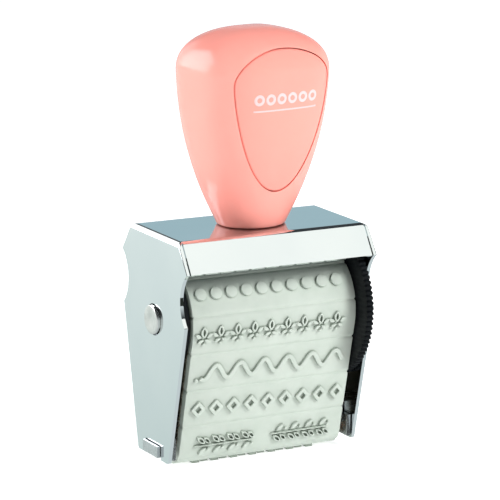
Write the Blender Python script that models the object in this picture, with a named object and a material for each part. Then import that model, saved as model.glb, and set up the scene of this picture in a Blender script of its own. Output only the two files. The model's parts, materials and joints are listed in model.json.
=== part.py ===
"""Hand stamp with a wide rotary rubber band of border patterns.

A folded, chromed steel housing carries an axle with a drum and a thumb wheel. A rubber band with
thirteen rows of relief runs round the drum and under a print bar at the foot. A pear-shaped
plastic handle is screwed to the top.

Frame: metres, +Z up. The origin is the centre of the print face, which is the lowest point.
+X runs along the axle towards the thumb wheel, and -Y is the front.
"""
import math

import bmesh
import bpy

# Clearance left between two pieces that touch.
GAP = 0.0003

# Housing: one folded sheet. Heights named "above foot" start at the side plates' lower edge.
SHEET = 0.0010
FRAME_WIDTH = 0.0580
FRAME_HEIGHT = 0.0620
FOOT_Z = 0.0026
TOP_HALF_DEPTH = 0.0138
LIP_HALF_DEPTH = 0.0190
LIP_DROP = 0.0079
FOOT_HALF_DEPTH = 0.0089
TAPER_TOP = (0.0180, 0.0395)
NOTCH_CENTRE = (0.02534, 0.04633)
BEND_RADIUS = 0.0008
SIDE_BEND_RADIUS = 0.0018
LIP_BEND_RADIUS = 0.0024
LIP_END_GAP = 0.0004

# Axle and everything that turns with it.
AXLE_ABOVE_FOOT = 0.0382
AXLE_RADIUS = 0.0040
AXLE_HOLE_RADIUS = 0.00434
AXLE_PROUD = 0.0010
DRUM_RADIUS = 0.0109
SLEEVE_THICKNESS = 0.0010
HUB_RECESS_DEPTH = 0.0060
HEX_RADIUS = 0.0065
FLANGE_RADIUS = 0.0144
WHEEL_RADIUS = 0.0209
WHEEL_TEETH = 90
TOOTH_DEPTH = 0.0007
DISC_THICKNESS = 0.0020
DISC_WEB = 0.0010
COUNTERBORE_RADIUS = 0.0072
RING_THICKNESS = 0.0010
RING_OUTER_RADIUS = 0.0063
RING_GROOVE_RADIUS = 0.0033
DRIVE_PIN_RADIUS = 0.0010

# Band: an endless loop, described by the outer face of its base, from which the relief rises.
BAND_WIDTH = 0.0500
BAND_DRUM_RADIUS = 0.0153
BAND_CORNER_RADIUS = 0.0050
BAND_FLAT_HALF = 0.0027
BAND_THICKNESS = 0.0019
RELIEF = 0.0008
LINING_THICKNESS = 0.0006
ROW_COUNT = 13
ROW_OFFSET = -0.0009
ROW_MARGIN = 0.0012
ROW_GROOVE_DEPTH = 0.0004
ROW_GROOVE_HALF_WIDTH = 0.0003
PAD_SLOPE = 0.0001

# Print bar: a pressed bar whose end flanges and tabs sit in the side plates' foot notches.
BAR_HALF_DEPTH = 0.0045
BAR_TOP_ABOVE_FOOT = 0.0095
CUSHION_TOP_ABOVE_FOOT = 0.0032
TAB_HALF_DEPTH = 0.00435
TAB_ABOVE_FOOT = (0.0007, 0.0038)
TAB_PROUD = 0.0010
BAR_FLANGE_HALF_DEPTH = 0.0088
BAR_FLANGE_ABOVE_FOOT = (0.0008, 0.0068)
BAR_FLANGE_THICKNESS = 0.0011

# Handle: sections are superellipses, from nearly round at the base to squarish at the widest.
HANDLE_HEIGHT = 0.0537
HANDLE_WIDEST = 0.0420
BASE_HALF_WIDTH = 0.0096
BASE_HALF_DEPTH = 0.0085
WIDEST_HALF_WIDTH = 0.0197
WIDEST_HALF_DEPTH = 0.0161
WIDTH_FLARE = 0.571
DEPTH_FLARE = 0.334
DOME_POWER = 2.2
PLAN_POWER = 3.1
BASE_EDGE_RADIUS = 0.0005
# The handle is screwed down a few degrees round from square, and a little off centre.
HANDLE_TURN = math.radians(7.0)
HANDLE_SHIFT = 0.0004

# Inlaid panel: an egg-shaped outline, wide end up, on the handle's front and back.
PANEL_HALF_WIDTH = 0.0151
PANEL_CENTRE_HEIGHT = 0.0402
PANEL_RISE = 0.0088
PANEL_FALL = 0.0297
PANEL_SUNK = 0.0001
PANEL_THICKNESS = 0.0015

# Handle fixing.
SCREW_RADIUS = 0.0019
SCREW_HEAD_RADIUS = 0.0035
SCREW_HEAD_HEIGHT = 0.0022
SCREW_HOLE_RADIUS = 0.0023
WASHER_THICKNESS = 0.0008
INSERT_RADIUS = 0.0032
INSERT_LENGTH = 0.0100
LOCATING_PIN_RADIUS = 0.0010
LOCATING_PIN_X = 0.0062
LOCATING_PIN_LENGTH = 0.0070

# Heights that follow from the dimensions above.
TOP_Z = FOOT_Z + FRAME_HEIGHT
AXLE_Z = FOOT_Z + AXLE_ABOVE_FOOT
HANDLE_Z = TOP_Z + GAP
PLATE_INNER_X = FRAME_WIDTH / 2 - SHEET
BAND_FOOT_Z = RELIEF
DISC_INNER_X = BAND_WIDTH / 2 + 0.0004
DISC_OUTER_X = DISC_INNER_X + DISC_THICKNESS

SEGMENTS = 48


# ---------------------------------------------------------------- scene and materials

def clear_scene():
    for item in list(bpy.data.objects):
        bpy.data.objects.remove(item, do_unlink=True)


def principled(name, colour, roughness, metallic=0.0):
    """A Principled material with one colour."""
    material = bpy.data.materials.new(name)
    material.use_nodes = True
    shader = material.node_tree.nodes["Principled BSDF"]
    shader.inputs["Base Color"].default_value = (*colour, 1.0)
    shader.inputs["Roughness"].default_value = roughness
    shader.inputs["Metallic"].default_value = metallic
    return material


def make_materials():
    return {
        "chrome": principled("chrome_plate", (0.83, 0.86, 0.87), 0.08, 1.0),
        "handle": principled("pink_gloss_plastic", (0.93, 0.42, 0.33), 0.22),
        "inlay": principled("pink_satin_plastic", (0.98, 0.50, 0.42), 0.40),
        "brass": principled("turned_brass", (0.78, 0.57, 0.26), 0.30, 1.0),
        "zinc": principled("zinc_plated_steel", (0.66, 0.67, 0.68), 0.35, 1.0),
        "steel": principled("bright_steel", (0.80, 0.79, 0.76), 0.18, 1.0),
        "spring_steel": principled("spring_steel", (0.30, 0.30, 0.32), 0.35, 1.0),
        "black": principled("black_plastic", (0.012, 0.013, 0.016), 0.45),
        "grey": principled("dark_grey_plastic", (0.06, 0.06, 0.065), 0.45),
        "grip": principled("grip_rubber", (0.05, 0.045, 0.04), 0.80),
        "band": principled("stamp_rubber", (0.62, 0.70, 0.61), 0.65),
        "lining": principled("woven_lining", (0.42, 0.38, 0.29), 0.90),
        "cushion": principled("sponge_rubber", (0.36, 0.25, 0.17), 0.90),
        "bar": principled("pressed_steel", (0.62, 0.63, 0.64), 0.30, 1.0),
    }


# ---------------------------------------------------------------- building blocks

def mesh_object(name, mesh_data, material=None, location=(0.0, 0.0, 0.0)):
    """Turn a bmesh into an object of flat triangles that face out."""
    bmesh.ops.remove_doubles(mesh_data, verts=mesh_data.verts, dist=1e-7)
    bmesh.ops.triangulate(mesh_data, faces=mesh_data.faces)
    bmesh.ops.recalc_face_normals(mesh_data, faces=mesh_data.faces)
    mesh = bpy.data.meshes.new(name)
    mesh_data.to_mesh(mesh)
    mesh_data.free()
    mesh.shade_smooth()
    mesh.set_sharp_from_angle(angle=math.radians(35.0))
    if material:
        mesh.materials.append(material)
    item = bpy.data.objects.new(name, mesh)
    item.location = location
    bpy.context.scene.collection.objects.link(item)
    return item


def rounded(corners, steps=4):
    """Outline through corners given as (u, v, radius), with an arc at each corner that has one."""
    points = []
    count = len(corners)
    for index, (u, v, radius) in enumerate(corners):
        if radius <= 0.0:
            points.append((u, v))
            continue
        before = corners[index - 1]
        after = corners[(index + 1) % count]
        angle_in = math.atan2(before[1] - v, before[0] - u)
        angle_out = math.atan2(after[1] - v, after[0] - u)
        opening = (angle_out - angle_in + math.pi) % (2 * math.pi) - math.pi
        reach = radius / math.tan(abs(opening) / 2)
        middle = angle_in + opening / 2
        distance = radius / math.sin(abs(opening) / 2)
        centre = (u + distance * math.cos(middle), v + distance * math.sin(middle))
        start = (u + reach * math.cos(angle_in), v + reach * math.sin(angle_in))
        first = math.atan2(start[1] - centre[1], start[0] - centre[0])
        turn = math.copysign(math.pi - abs(opening), -opening)
        for step in range(steps + 1):
            angle = first + turn * step / steps
            points.append((centre[0] + radius * math.cos(angle), centre[1] + radius * math.sin(angle)))
    return points


def loft(name, stations, material=None):
    """Skin closed outlines of equal length, given as lists of points, with an end cap on each side."""
    mesh_data = bmesh.new()
    rows = [[mesh_data.verts.new(point) for point in station] for station in stations]
    mesh_data.faces.new(rows[0])
    mesh_data.faces.new(rows[-1])
    for here, there in zip(rows, rows[1:]):
        for index in range(len(here)):
            following = (index + 1) % len(here)
            mesh_data.faces.new((here[index], here[following], there[following], there[index]))
    return mesh_object(name, mesh_data, material)


def prism(name, outline, axis, low, high, material=None):
    """Extrude a closed outline: (y, z) along X, (x, z) along Y, or (x, y) along Z."""
    place = {
        "X": lambda u, v, w: (w, u, v),
        "Y": lambda u, v, w: (u, w, v),
        "Z": lambda u, v, w: (u, v, w),
    }[axis]
    return loft(name, [[place(u, v, end) for u, v in outline] for end in (low, high)], material)


def box(name, low, high, material=None):
    outline = [(low[0], low[1]), (high[0], low[1]), (high[0], high[1]), (low[0], high[1])]
    return prism(name, outline, "Z", low[2], high[2], material)


def circle(radius, centre=(0.0, 0.0), segments=SEGMENTS, phase=0.0):
    return [(centre[0] + radius * math.cos(phase + 2 * math.pi * step / segments),
             centre[1] + radius * math.sin(phase + 2 * math.pi * step / segments))
            for step in range(segments)]


def lathe(name, profile, axis, location, material=None, sweep=2 * math.pi, segments=SEGMENTS):
    """Turn a profile of (distance along the axis, radius).

    A profile that starts and ends at radius zero makes a solid. Any other is closed on itself
    and makes a ring, which may stop short of a full turn.
    """
    place = {
        "X": lambda along, u, v: (along, u, v),
        "Y": lambda along, u, v: (u, along, v),
        "Z": lambda along, u, v: (u, v, along),
    }[axis]
    ring_shape = profile[0][1] > 0.0
    full_turn = sweep > 2 * math.pi - 1e-6
    stations = segments if full_turn else segments + 1
    mesh_data = bmesh.new()
    rows = []
    for station in range(stations):
        angle = sweep * station / segments
        rows.append([mesh_data.verts.new(place(along, radius * math.cos(angle), radius * math.sin(angle)))
                     for along, radius in profile])
    spans = len(profile) if ring_shape else len(profile) - 1
    for station in range(segments):
        here, there = rows[station], rows[(station + 1) % stations]
        for index in range(spans):
            following = (index + 1) % len(profile)
            corners = [here[index], here[following], there[following], there[index]]
            if profile[index][1] <= 0.0:
                corners.remove(there[index])
            if profile[following][1] <= 0.0:
                corners.remove(there[following])
            mesh_data.faces.new(corners)
    if not full_turn:
        mesh_data.faces.new(rows[0])
        mesh_data.faces.new(rows[-1])
    poles = [vertex for vertex in mesh_data.verts if not vertex.link_faces]
    bmesh.ops.delete(mesh_data, geom=poles, context="VERTS")
    return mesh_object(name, mesh_data, material, location)


def boolean(target, other, operation):
    """Add a Boolean modifier whose operand stays as a hidden wire guide."""
    modifier = target.modifiers.new(f"{operation.lower()}_{other.name}", "BOOLEAN")
    modifier.operation = operation
    modifier.solver = "EXACT"
    modifier.object = other
    other.hide_render = True
    other.display_type = "WIRE"


def cut(target, *cutters):
    for cutter in cutters:
        boolean(target, cutter, "DIFFERENCE")


def fuse(target, *others):
    for other in others:
        boolean(target, other, "UNION")


def parent_to(pivot, pieces):
    """Parent pieces to an empty without moving them."""
    bpy.context.view_layer.update()
    for piece in pieces:
        piece.parent = pivot
        piece.matrix_parent_inverse = pivot.matrix_world.inverted()


# ---------------------------------------------------------------- housing

def side_outline():
    """Side plate seen along the axle: narrow foot, concave finger notch, sloping shoulder."""
    notch_radius = math.dist(NOTCH_CENTRE, TAPER_TOP)
    shoulder = (LIP_HALF_DEPTH, FRAME_HEIGHT - LIP_DROP)
    low_angle = math.atan2(TAPER_TOP[1] - NOTCH_CENTRE[1], TAPER_TOP[0] - NOTCH_CENTRE[0])
    high_angle = math.atan2(shoulder[1] - NOTCH_CENTRE[1], shoulder[0] - NOTCH_CENTRE[0])
    sweep = (high_angle - low_angle) % (2 * math.pi) - 2 * math.pi
    steps = 13
    notch = []
    for step in range(1, steps):
        angle = low_angle + sweep * step / steps
        notch.append((NOTCH_CENTRE[0] + notch_radius * math.cos(angle),
                      NOTCH_CENTRE[1] + notch_radius * math.sin(angle), 0.0))
    back = [(FOOT_HALF_DEPTH, 0.0, BEND_RADIUS), (*TAPER_TOP, 0.0), *notch, (*shoulder, 0.0),
            (TOP_HALF_DEPTH, FRAME_HEIGHT, LIP_BEND_RADIUS)]
    front = [(-y, z, radius) for y, z, radius in reversed(back)]
    return [(y, z + FOOT_Z) for y, z in rounded(back + front)]


def build_outer_block(material):
    """Solid with the housing's outer shape: the side outline, rounded over along both top edges."""
    outline = side_outline()
    half = FRAME_WIDTH / 2
    steps = 6
    right = []
    for step in range(steps + 1):
        turn = 0.5 * math.pi * step / steps
        x = half - SIDE_BEND_RADIUS * (1.0 - math.sin(turn))
        crest = FOOT_Z + FRAME_HEIGHT - SIDE_BEND_RADIUS * (1.0 - math.cos(turn))
        right.append((x, crest))
    ends = [(-x, crest) for x, crest in reversed(right)] + right
    stations = [[(x, y, min(z, crest)) for y, z in outline] for x, crest in ends]
    return loft("frame_housing", stations, material)


def build_hollow():
    """Space inside the sheet: open at the foot, front and back, with a slit beside each lip's end."""
    outside, below, above = 0.025, -0.005, FRAME_HEIGHT + 0.004
    drop_y, drop_z = LIP_HALF_DEPTH - TOP_HALF_DEPTH, LIP_DROP
    length = math.hypot(drop_y, drop_z)
    normal = (drop_z / length, drop_y / length)
    ceiling = FRAME_HEIGHT - SHEET
    lip_end = (LIP_HALF_DEPTH - SHEET * normal[0], FRAME_HEIGHT - LIP_DROP - SHEET * normal[1])
    lip_root = lip_end[0] - (ceiling - lip_end[1]) * drop_y / drop_z
    past_lip = lip_end[1] + (outside - lip_end[0]) * normal[1] / normal[0]
    lip_middle = ((lip_end[0] + lip_root) / 2, (lip_end[1] + ceiling) / 2)
    root = (lip_root, ceiling)
    under_lip = [(outside, below), (outside, past_lip), lip_end, lip_middle, root]
    slit_wall = TOP_HALF_DEPTH - 0.0001
    beside_lip = [(outside, below), (outside, above), (slit_wall, above), (slit_wall, ceiling), root]

    def whole(half_outline):
        mirrored = [(-y, z) for y, z in reversed(half_outline)]
        return [(y, z + FOOT_Z) for y, z in half_outline + mirrored]

    wall = PLATE_INNER_X
    slit = wall - LIP_END_GAP
    sections = [(-wall, beside_lip), (-slit, beside_lip), (-slit, under_lip),
                (slit, under_lip), (slit, beside_lip), (wall, beside_lip)]
    return loft("cutter_hollow", [[(x, y, z) for y, z in whole(half)] for x, half in sections])


def build_housing(materials):
    housing = build_outer_block(materials["chrome"])
    past = FRAME_WIDTH / 2 + SHEET
    notch_half = TAB_HALF_DEPTH + GAP
    notch_top = FOOT_Z + TAB_ABOVE_FOOT[1] + GAP
    cut(housing,
        build_hollow(),
        prism("cutter_axle_holes", circle(AXLE_HOLE_RADIUS, (0.0, AXLE_Z)), "X", -past, past),
        box("cutter_tab_notches", (-past, -notch_half, 0.0), (past, notch_half, notch_top)),
        prism("cutter_screw_hole", circle(SCREW_HOLE_RADIUS, segments=24), "Z",
              TOP_Z - 2 * SHEET, TOP_Z + SHEET),
        prism("cutter_pin_hole", circle(LOCATING_PIN_RADIUS + GAP, (LOCATING_PIN_X, 0.0), 16), "Z",
              TOP_Z - 2 * SHEET, TOP_Z + SHEET))
    return housing


# ---------------------------------------------------------------- axle, drum and wheels

def build_axle(materials):
    end = FRAME_WIDTH / 2 + AXLE_PROUD
    chamfer = 0.0004
    groove_in = DISC_INNER_X + DISC_WEB
    groove_out = PLATE_INNER_X
    right = [(groove_in, AXLE_RADIUS), (groove_in, RING_GROOVE_RADIUS), (groove_out, RING_GROOVE_RADIUS),
             (groove_out, AXLE_RADIUS), (end - chamfer, AXLE_RADIUS), (end, AXLE_RADIUS - chamfer), (end, 0.0)]
    left = [(-x, radius) for x, radius in reversed(right)]
    axle = lathe("axle_shaft", left + right, "X", (0.0, 0.0, AXLE_Z), materials["steel"])
    hole_radius = DRIVE_PIN_RADIUS + GAP
    pin_hole = prism("cutter_axle_pin_hole", circle(hole_radius, (0.0, AXLE_Z), 16), "Y", -0.02, 0.02)
    cut(axle, pin_hole)
    pin_half = DRUM_RADIUS - GAP
    pin = lathe("drive_pin", [(-pin_half, 0.0), (-pin_half, DRIVE_PIN_RADIUS), (pin_half, DRIVE_PIN_RADIUS),
                              (pin_half, 0.0)], "Y", (0.0, 0.0, AXLE_Z), materials["zinc"], segments=16)
    return [axle, pin], pin_hole


def build_retaining_ring(name, side, materials):
    """Open spring ring in the axle's groove, just inside a side plate."""
    outer_face = PLATE_INNER_X - GAP
    inner_face = outer_face - RING_THICKNESS
    inner_radius = RING_GROOVE_RADIUS + GAP
    profile = [(side * x, radius) for x, radius in
               ((inner_face, inner_radius), (outer_face, inner_radius),
                (outer_face, RING_OUTER_RADIUS), (inner_face, RING_OUTER_RADIUS))]
    return lathe(name, profile, "X", (0.0, 0.0, AXLE_Z), materials["spring_steel"],
                 sweep=math.radians(300.0), segments=30)


def build_drum(materials, pin_hole):
    half = BAND_WIDTH / 2 + 0.0001
    rim = DRUM_RADIUS - 0.0015
    floor = half - HUB_RECESS_DEPTH
    right = [(floor, rim), (half, rim), (half, DRUM_RADIUS)]
    right = [(half, 0.0), (half, COUNTERBORE_RADIUS), (floor, COUNTERBORE_RADIUS)] + right
    left = [(-x, radius) for x, radius in right]
    profile = left + list(reversed(right))
    drum = lathe("drum_core", profile, "X", (0.0, 0.0, AXLE_Z), materials["grey"])
    boss_end = DISC_INNER_X + DISC_WEB - GAP
    hexagon = circle(HEX_RADIUS, (0.0, AXLE_Z), 6)
    fuse(drum, prism("guide_hex_boss", hexagon, "X", -boss_end, boss_end))
    bore = circle(AXLE_RADIUS + GAP, (0.0, AXLE_Z))
    cut(drum, prism("cutter_drum_bore", bore, "X", -half - 0.005, half + 0.005), pin_hole)

    sleeve_half = half - GAP
    inner = DRUM_RADIUS + GAP
    sleeve = lathe("drum_sleeve", [(-sleeve_half, inner), (sleeve_half, inner),
                                   (sleeve_half, inner + SLEEVE_THICKNESS),
                                   (-sleeve_half, inner + SLEEVE_THICKNESS)],
                   "X", (0.0, 0.0, AXLE_Z), materials["grip"])
    return [drum, sleeve]


def toothed_outline():
    """Thumb wheel rim: each tooth has a flat tip and a flat root."""
    points = []
    root = WHEEL_RADIUS - TOOTH_DEPTH
    for tooth in range(WHEEL_TEETH):
        for share, radius in ((0.0, root), (0.30, root), (0.50, WHEEL_RADIUS), (0.80, WHEEL_RADIUS)):
            angle = 2 * math.pi * (tooth + share) / WHEEL_TEETH
            points.append((radius * math.cos(angle), AXLE_Z + radius * math.sin(angle)))
    return points


def build_disc(name, outline, side, material):
    """Disc on the drum's hexagonal boss, counterbored for the retaining ring."""
    faces = sorted((side * DISC_INNER_X, side * DISC_OUTER_X))
    disc = prism(name, outline, "X", *faces, material)
    web = sorted((side * (DISC_INNER_X + DISC_WEB), side * (DISC_OUTER_X + SHEET)))
    through = sorted((side * (DISC_INNER_X - SHEET), side * (DISC_OUTER_X + SHEET)))
    hexagon = circle(HEX_RADIUS + GAP / math.cos(math.pi / 6), (0.0, AXLE_Z), 6)
    cut(disc,
        prism(f"cutter_{name}_counterbore", circle(COUNTERBORE_RADIUS, (0.0, AXLE_Z)), "X", *web),
        prism(f"cutter_{name}_hexagon", hexagon, "X", *through))
    return disc


# ---------------------------------------------------------------- band

class BandPath:
    """Closed path of the band's base, seen along the axle, measured from the front of the drum."""

    def __init__(self):
        drum = (0.0, AXLE_Z)
        corner = (-BAND_FLAT_HALF, BAND_FOOT_Z + BAND_CORNER_RADIUS)
        span = (corner[0] - drum[0], corner[1] - drum[1])
        lean = math.acos((BAND_DRUM_RADIUS - BAND_CORNER_RADIUS) / math.hypot(*span))
        run_angle = math.atan2(span[1], span[0]) - lean
        self.run_angle = run_angle % (2 * math.pi)
        self.run = math.sqrt(math.hypot(*span) ** 2 - (BAND_DRUM_RADIUS - BAND_CORNER_RADIUS) ** 2)
        below = self.run_angle - math.pi
        corner_turn = math.pi / 2 - below
        drum_turn = math.pi + 2 * below
        mirror_corner = (-corner[0], corner[1])
        back_angle = -below
        self.pieces = [
            ("line", self.run, drum, BAND_DRUM_RADIUS, self.run_angle),
            ("arc", corner_turn * BAND_CORNER_RADIUS, corner, BAND_CORNER_RADIUS, self.run_angle),
            ("line", 2 * BAND_FLAT_HALF, corner, BAND_CORNER_RADIUS, 1.5 * math.pi),
            ("arc", corner_turn * BAND_CORNER_RADIUS, mirror_corner, BAND_CORNER_RADIUS, 1.5 * math.pi),
            ("line", self.run, mirror_corner, BAND_CORNER_RADIUS, back_angle),
            ("arc", drum_turn * BAND_DRUM_RADIUS, drum, BAND_DRUM_RADIUS, back_angle),
        ]
        self.length = sum(piece[1] for piece in self.pieces)
        self.bottom = self.run + corner_turn * BAND_CORNER_RADIUS + BAND_FLAT_HALF

    def point(self, distance, lift):
        """(y, z) at a distance along the path, lifted along the outward normal."""
        distance %= self.length
        for kind, length, centre, radius, angle in self.pieces:
            if distance <= length:
                break
            distance -= length
        along = 0.0
        if kind == "arc":
            angle += distance / radius
        else:
            along = distance
        reach = radius + lift
        return (centre[0] + reach * math.cos(angle) - along * math.sin(angle),
                centre[1] + reach * math.sin(angle) + along * math.cos(angle))


def endless_strip(name, stations, width, material):
    """Closed loop from (outer point, inner point) pairs in the (y, z) plane."""
    mesh_data = bmesh.new()
    loops = []
    for outer, inner in stations:
        loops.append([mesh_data.verts.new((x, *point)) for x, point in
                      ((-width / 2, outer), (width / 2, outer), (width / 2, inner), (-width / 2, inner))])
    for index, here in enumerate(loops):
        there = loops[(index + 1) % len(loops)]
        for corner in range(4):
            following = (corner + 1) % 4
            mesh_data.faces.new((here[corner], here[following], there[following], there[corner]))
    return mesh_object(name, mesh_data, material)


def row_stations(pitch):
    """(distance, lift) pairs across one row: groove edge, margin, raised pad, margin."""
    pad_start = ROW_MARGIN + PAD_SLOPE
    pad_end = pitch - pad_start
    steps = 6
    pad = [(pad_start + (pad_end - pad_start) * step / steps, RELIEF) for step in range(steps + 1)]
    return [(0.0, -ROW_GROOVE_DEPTH), (ROW_GROOVE_HALF_WIDTH, 0.0), (ROW_MARGIN, 0.0), *pad,
            (pitch - ROW_MARGIN, 0.0), (pitch - ROW_GROOVE_HALF_WIDTH, 0.0)]


def build_band(materials):
    path = BandPath()
    pitch = path.length / ROW_COUNT
    first = path.bottom - pitch / 2 + ROW_OFFSET
    stations = []
    for row in range(ROW_COUNT):
        for distance, lift in row_stations(pitch):
            place = first + row * pitch + distance
            stations.append((path.point(place, lift), path.point(place, -BAND_THICKNESS)))
    band = endless_strip("pattern_band", stations, BAND_WIDTH, materials["band"])

    outer_lift = -BAND_THICKNESS - GAP
    inner_lift = outer_lift - LINING_THICKNESS
    count = 120
    stations = []
    for step in range(count):
        place = path.bottom + path.length * step / count
        stations.append((path.point(place, outer_lift), path.point(place, inner_lift)))
    lining = endless_strip("band_lining", stations, BAND_WIDTH, materials["lining"])
    return [band, lining]


# ---------------------------------------------------------------- print bar

def build_print_bar(materials):
    body_end = PLATE_INNER_X - GAP
    flange_start = body_end - BAR_FLANGE_THICKNESS
    tab_end = FRAME_WIDTH / 2 + TAB_PROUD
    low, high = FOOT_Z + CUSHION_TOP_ABOVE_FOOT + GAP, FOOT_Z + BAR_TOP_ABOVE_FOOT
    bar = box("print_bar", (-body_end, -BAR_HALF_DEPTH, low), (body_end, BAR_HALF_DEPTH, high),
              materials["bar"])
    for side, word in ((-1, "left"), (1, "right")):
        flange_x = sorted((side * flange_start, side * body_end))
        tab_x = sorted((side * flange_start, side * tab_end))
        flange_z = [FOOT_Z + height for height in BAR_FLANGE_ABOVE_FOOT]
        tab_z = [FOOT_Z + height for height in TAB_ABOVE_FOOT]
        fuse(bar,
             box(f"guide_bar_flange_{word}", (flange_x[0], -BAR_FLANGE_HALF_DEPTH, flange_z[0]),
                 (flange_x[1], BAR_FLANGE_HALF_DEPTH, flange_z[1])),
             box(f"guide_bar_tab_{word}", (tab_x[0], -TAB_HALF_DEPTH, tab_z[0]),
                 (tab_x[1], TAB_HALF_DEPTH, tab_z[1])))
    return bar


def build_cushion(materials):
    """Sponge pad under the bar, with the band's own corner round its lower edges."""
    radius = BAND_CORNER_RADIUS - BAND_THICKNESS - LINING_THICKNESS - 2 * GAP
    centre_z = BAND_FOOT_Z + BAND_CORNER_RADIUS
    half = BAND_FLAT_HALF + radius
    top = FOOT_Z + CUSHION_TOP_ABOVE_FOOT
    outline = rounded([(-half, top, 0.0), (-half, centre_z - radius, radius),
                       (half, centre_z - radius, radius), (half, top, 0.0)], steps=6)
    end = BAND_WIDTH / 2 - 0.0005
    return prism("print_cushion", outline, "X", -end, end, materials["cushion"])


# ---------------------------------------------------------------- handle

def flare(share, start, slope, end):
    """Cubic from a starting value and slope to an ending value with no slope."""
    return (start * (2 * share ** 3 - 3 * share ** 2 + 1)
            + slope * (share ** 3 - 2 * share ** 2 + share)
            + end * (3 * share ** 2 - 2 * share ** 3))


def turned(x, y):
    """A place in the handle's own plan, turned with the handle."""
    return (HANDLE_SHIFT + x * math.cos(HANDLE_TURN) - y * math.sin(HANDLE_TURN),
            x * math.sin(HANDLE_TURN) + y * math.cos(HANDLE_TURN))


def handle_section(height):
    """Half width, half depth and plan exponent of the handle at a height above its base."""
    if height <= HANDLE_WIDEST:
        share = max(height, 0.0) / HANDLE_WIDEST
        return (flare(share, BASE_HALF_WIDTH, WIDTH_FLARE * HANDLE_WIDEST, WIDEST_HALF_WIDTH),
                flare(share, BASE_HALF_DEPTH, DEPTH_FLARE * HANDLE_WIDEST, WIDEST_HALF_DEPTH),
                2.0 + (PLAN_POWER - 2.0) * share)
    share = min((height - HANDLE_WIDEST) / (HANDLE_HEIGHT - HANDLE_WIDEST), 1.0)
    dome = (1.0 - share ** DOME_POWER) ** (1.0 / DOME_POWER)
    return WIDEST_HALF_WIDTH * dome, WIDEST_HALF_DEPTH * dome, PLAN_POWER


def handle_face(x, height):
    """How far the handle's surface stands in front of its middle plane."""
    half_width, half_depth, power = handle_section(height)
    return half_depth * max(0.0, 1.0 - abs(x / half_width) ** power) ** (1.0 / power)


def handle_ring(height, inset=0.0):
    half_width, half_depth, power = handle_section(height)
    ring = []
    for step in range(SEGMENTS):
        angle = 2 * math.pi * step / SEGMENTS
        across, deep = math.cos(angle), math.sin(angle)
        x = (half_width - inset) * math.copysign(abs(across) ** (2 / power), across)
        y = (half_depth - inset) * math.copysign(abs(deep) ** (2 / power), deep)
        ring.append((*turned(x, y), height))
    return ring


def build_handle_body(materials):
    corner = BASE_EDGE_RADIUS
    rings = [handle_ring(corner * (1 - math.sin(turn)), corner * (1 - math.cos(turn)))
             for turn in (math.radians(degrees) for degrees in (90, 45, 0))]
    lower_steps, dome_steps = 14, 9
    first = corner
    for step in range(1, lower_steps + 1):
        rings.append(handle_ring(first + (HANDLE_WIDEST - first) * step / lower_steps))
    for step in range(1, dome_steps):
        rise = math.sin(0.5 * math.pi * step / dome_steps)
        rings.append(handle_ring(HANDLE_WIDEST + (HANDLE_HEIGHT - HANDLE_WIDEST) * rise))

    mesh_data = bmesh.new()
    rows = [[mesh_data.verts.new(point) for point in ring] for ring in rings]
    for lower, upper in zip(rows, rows[1:]):
        for index in range(SEGMENTS):
            following = (index + 1) % SEGMENTS
            mesh_data.faces.new((lower[index], lower[following], upper[following], upper[index]))
    mesh_data.faces.new(rows[0])
    crown = mesh_data.verts.new((HANDLE_SHIFT, 0.0, HANDLE_HEIGHT))
    for index in range(SEGMENTS):
        mesh_data.faces.new((rows[-1][index], rows[-1][(index + 1) % SEGMENTS], crown))
    handle = mesh_object("handle_body", mesh_data, materials["handle"], (0.0, 0.0, HANDLE_Z))

    bore = INSERT_RADIUS + GAP
    bore_depth = INSERT_LENGTH + 3 * GAP
    tip_depth = bore_depth + 0.0020
    tip = SCREW_RADIUS + GAP
    cut(handle,
        lathe("cutter_insert_bore", [(-0.001, 0.0), (-0.001, bore), (bore_depth, bore), (bore_depth, tip),
                                     (tip_depth, tip), (tip_depth, 0.0)], "Z", (0.0, 0.0, HANDLE_Z),
              segments=24),
        prism("cutter_handle_pin_hole", circle(LOCATING_PIN_RADIUS + GAP, (LOCATING_PIN_X, 0.0), 16), "Z",
              HANDLE_Z - 0.001, HANDLE_Z + LOCATING_PIN_LENGTH))
    for side in (-1, 1):
        cut(handle, panel_solid(f"cutter_recess_{'front' if side < 0 else 'back'}", side,
                                GAP, 0.0015, -PANEL_SUNK - PANEL_THICKNESS - GAP))
    return handle


def panel_outline(grow):
    """Egg-shaped outline as (x, height above the handle's base)."""
    points = []
    for step in range(SEGMENTS):
        angle = 2 * math.pi * step / SEGMENTS
        rise = math.sin(angle)
        height = (PANEL_RISE + grow) * rise if rise >= 0 else -(PANEL_FALL + grow) * (-rise) ** (4 / 3)
        points.append(((PANEL_HALF_WIDTH + grow) * math.cos(angle), PANEL_CENTRE_HEIGHT + height))
    return points


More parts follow.
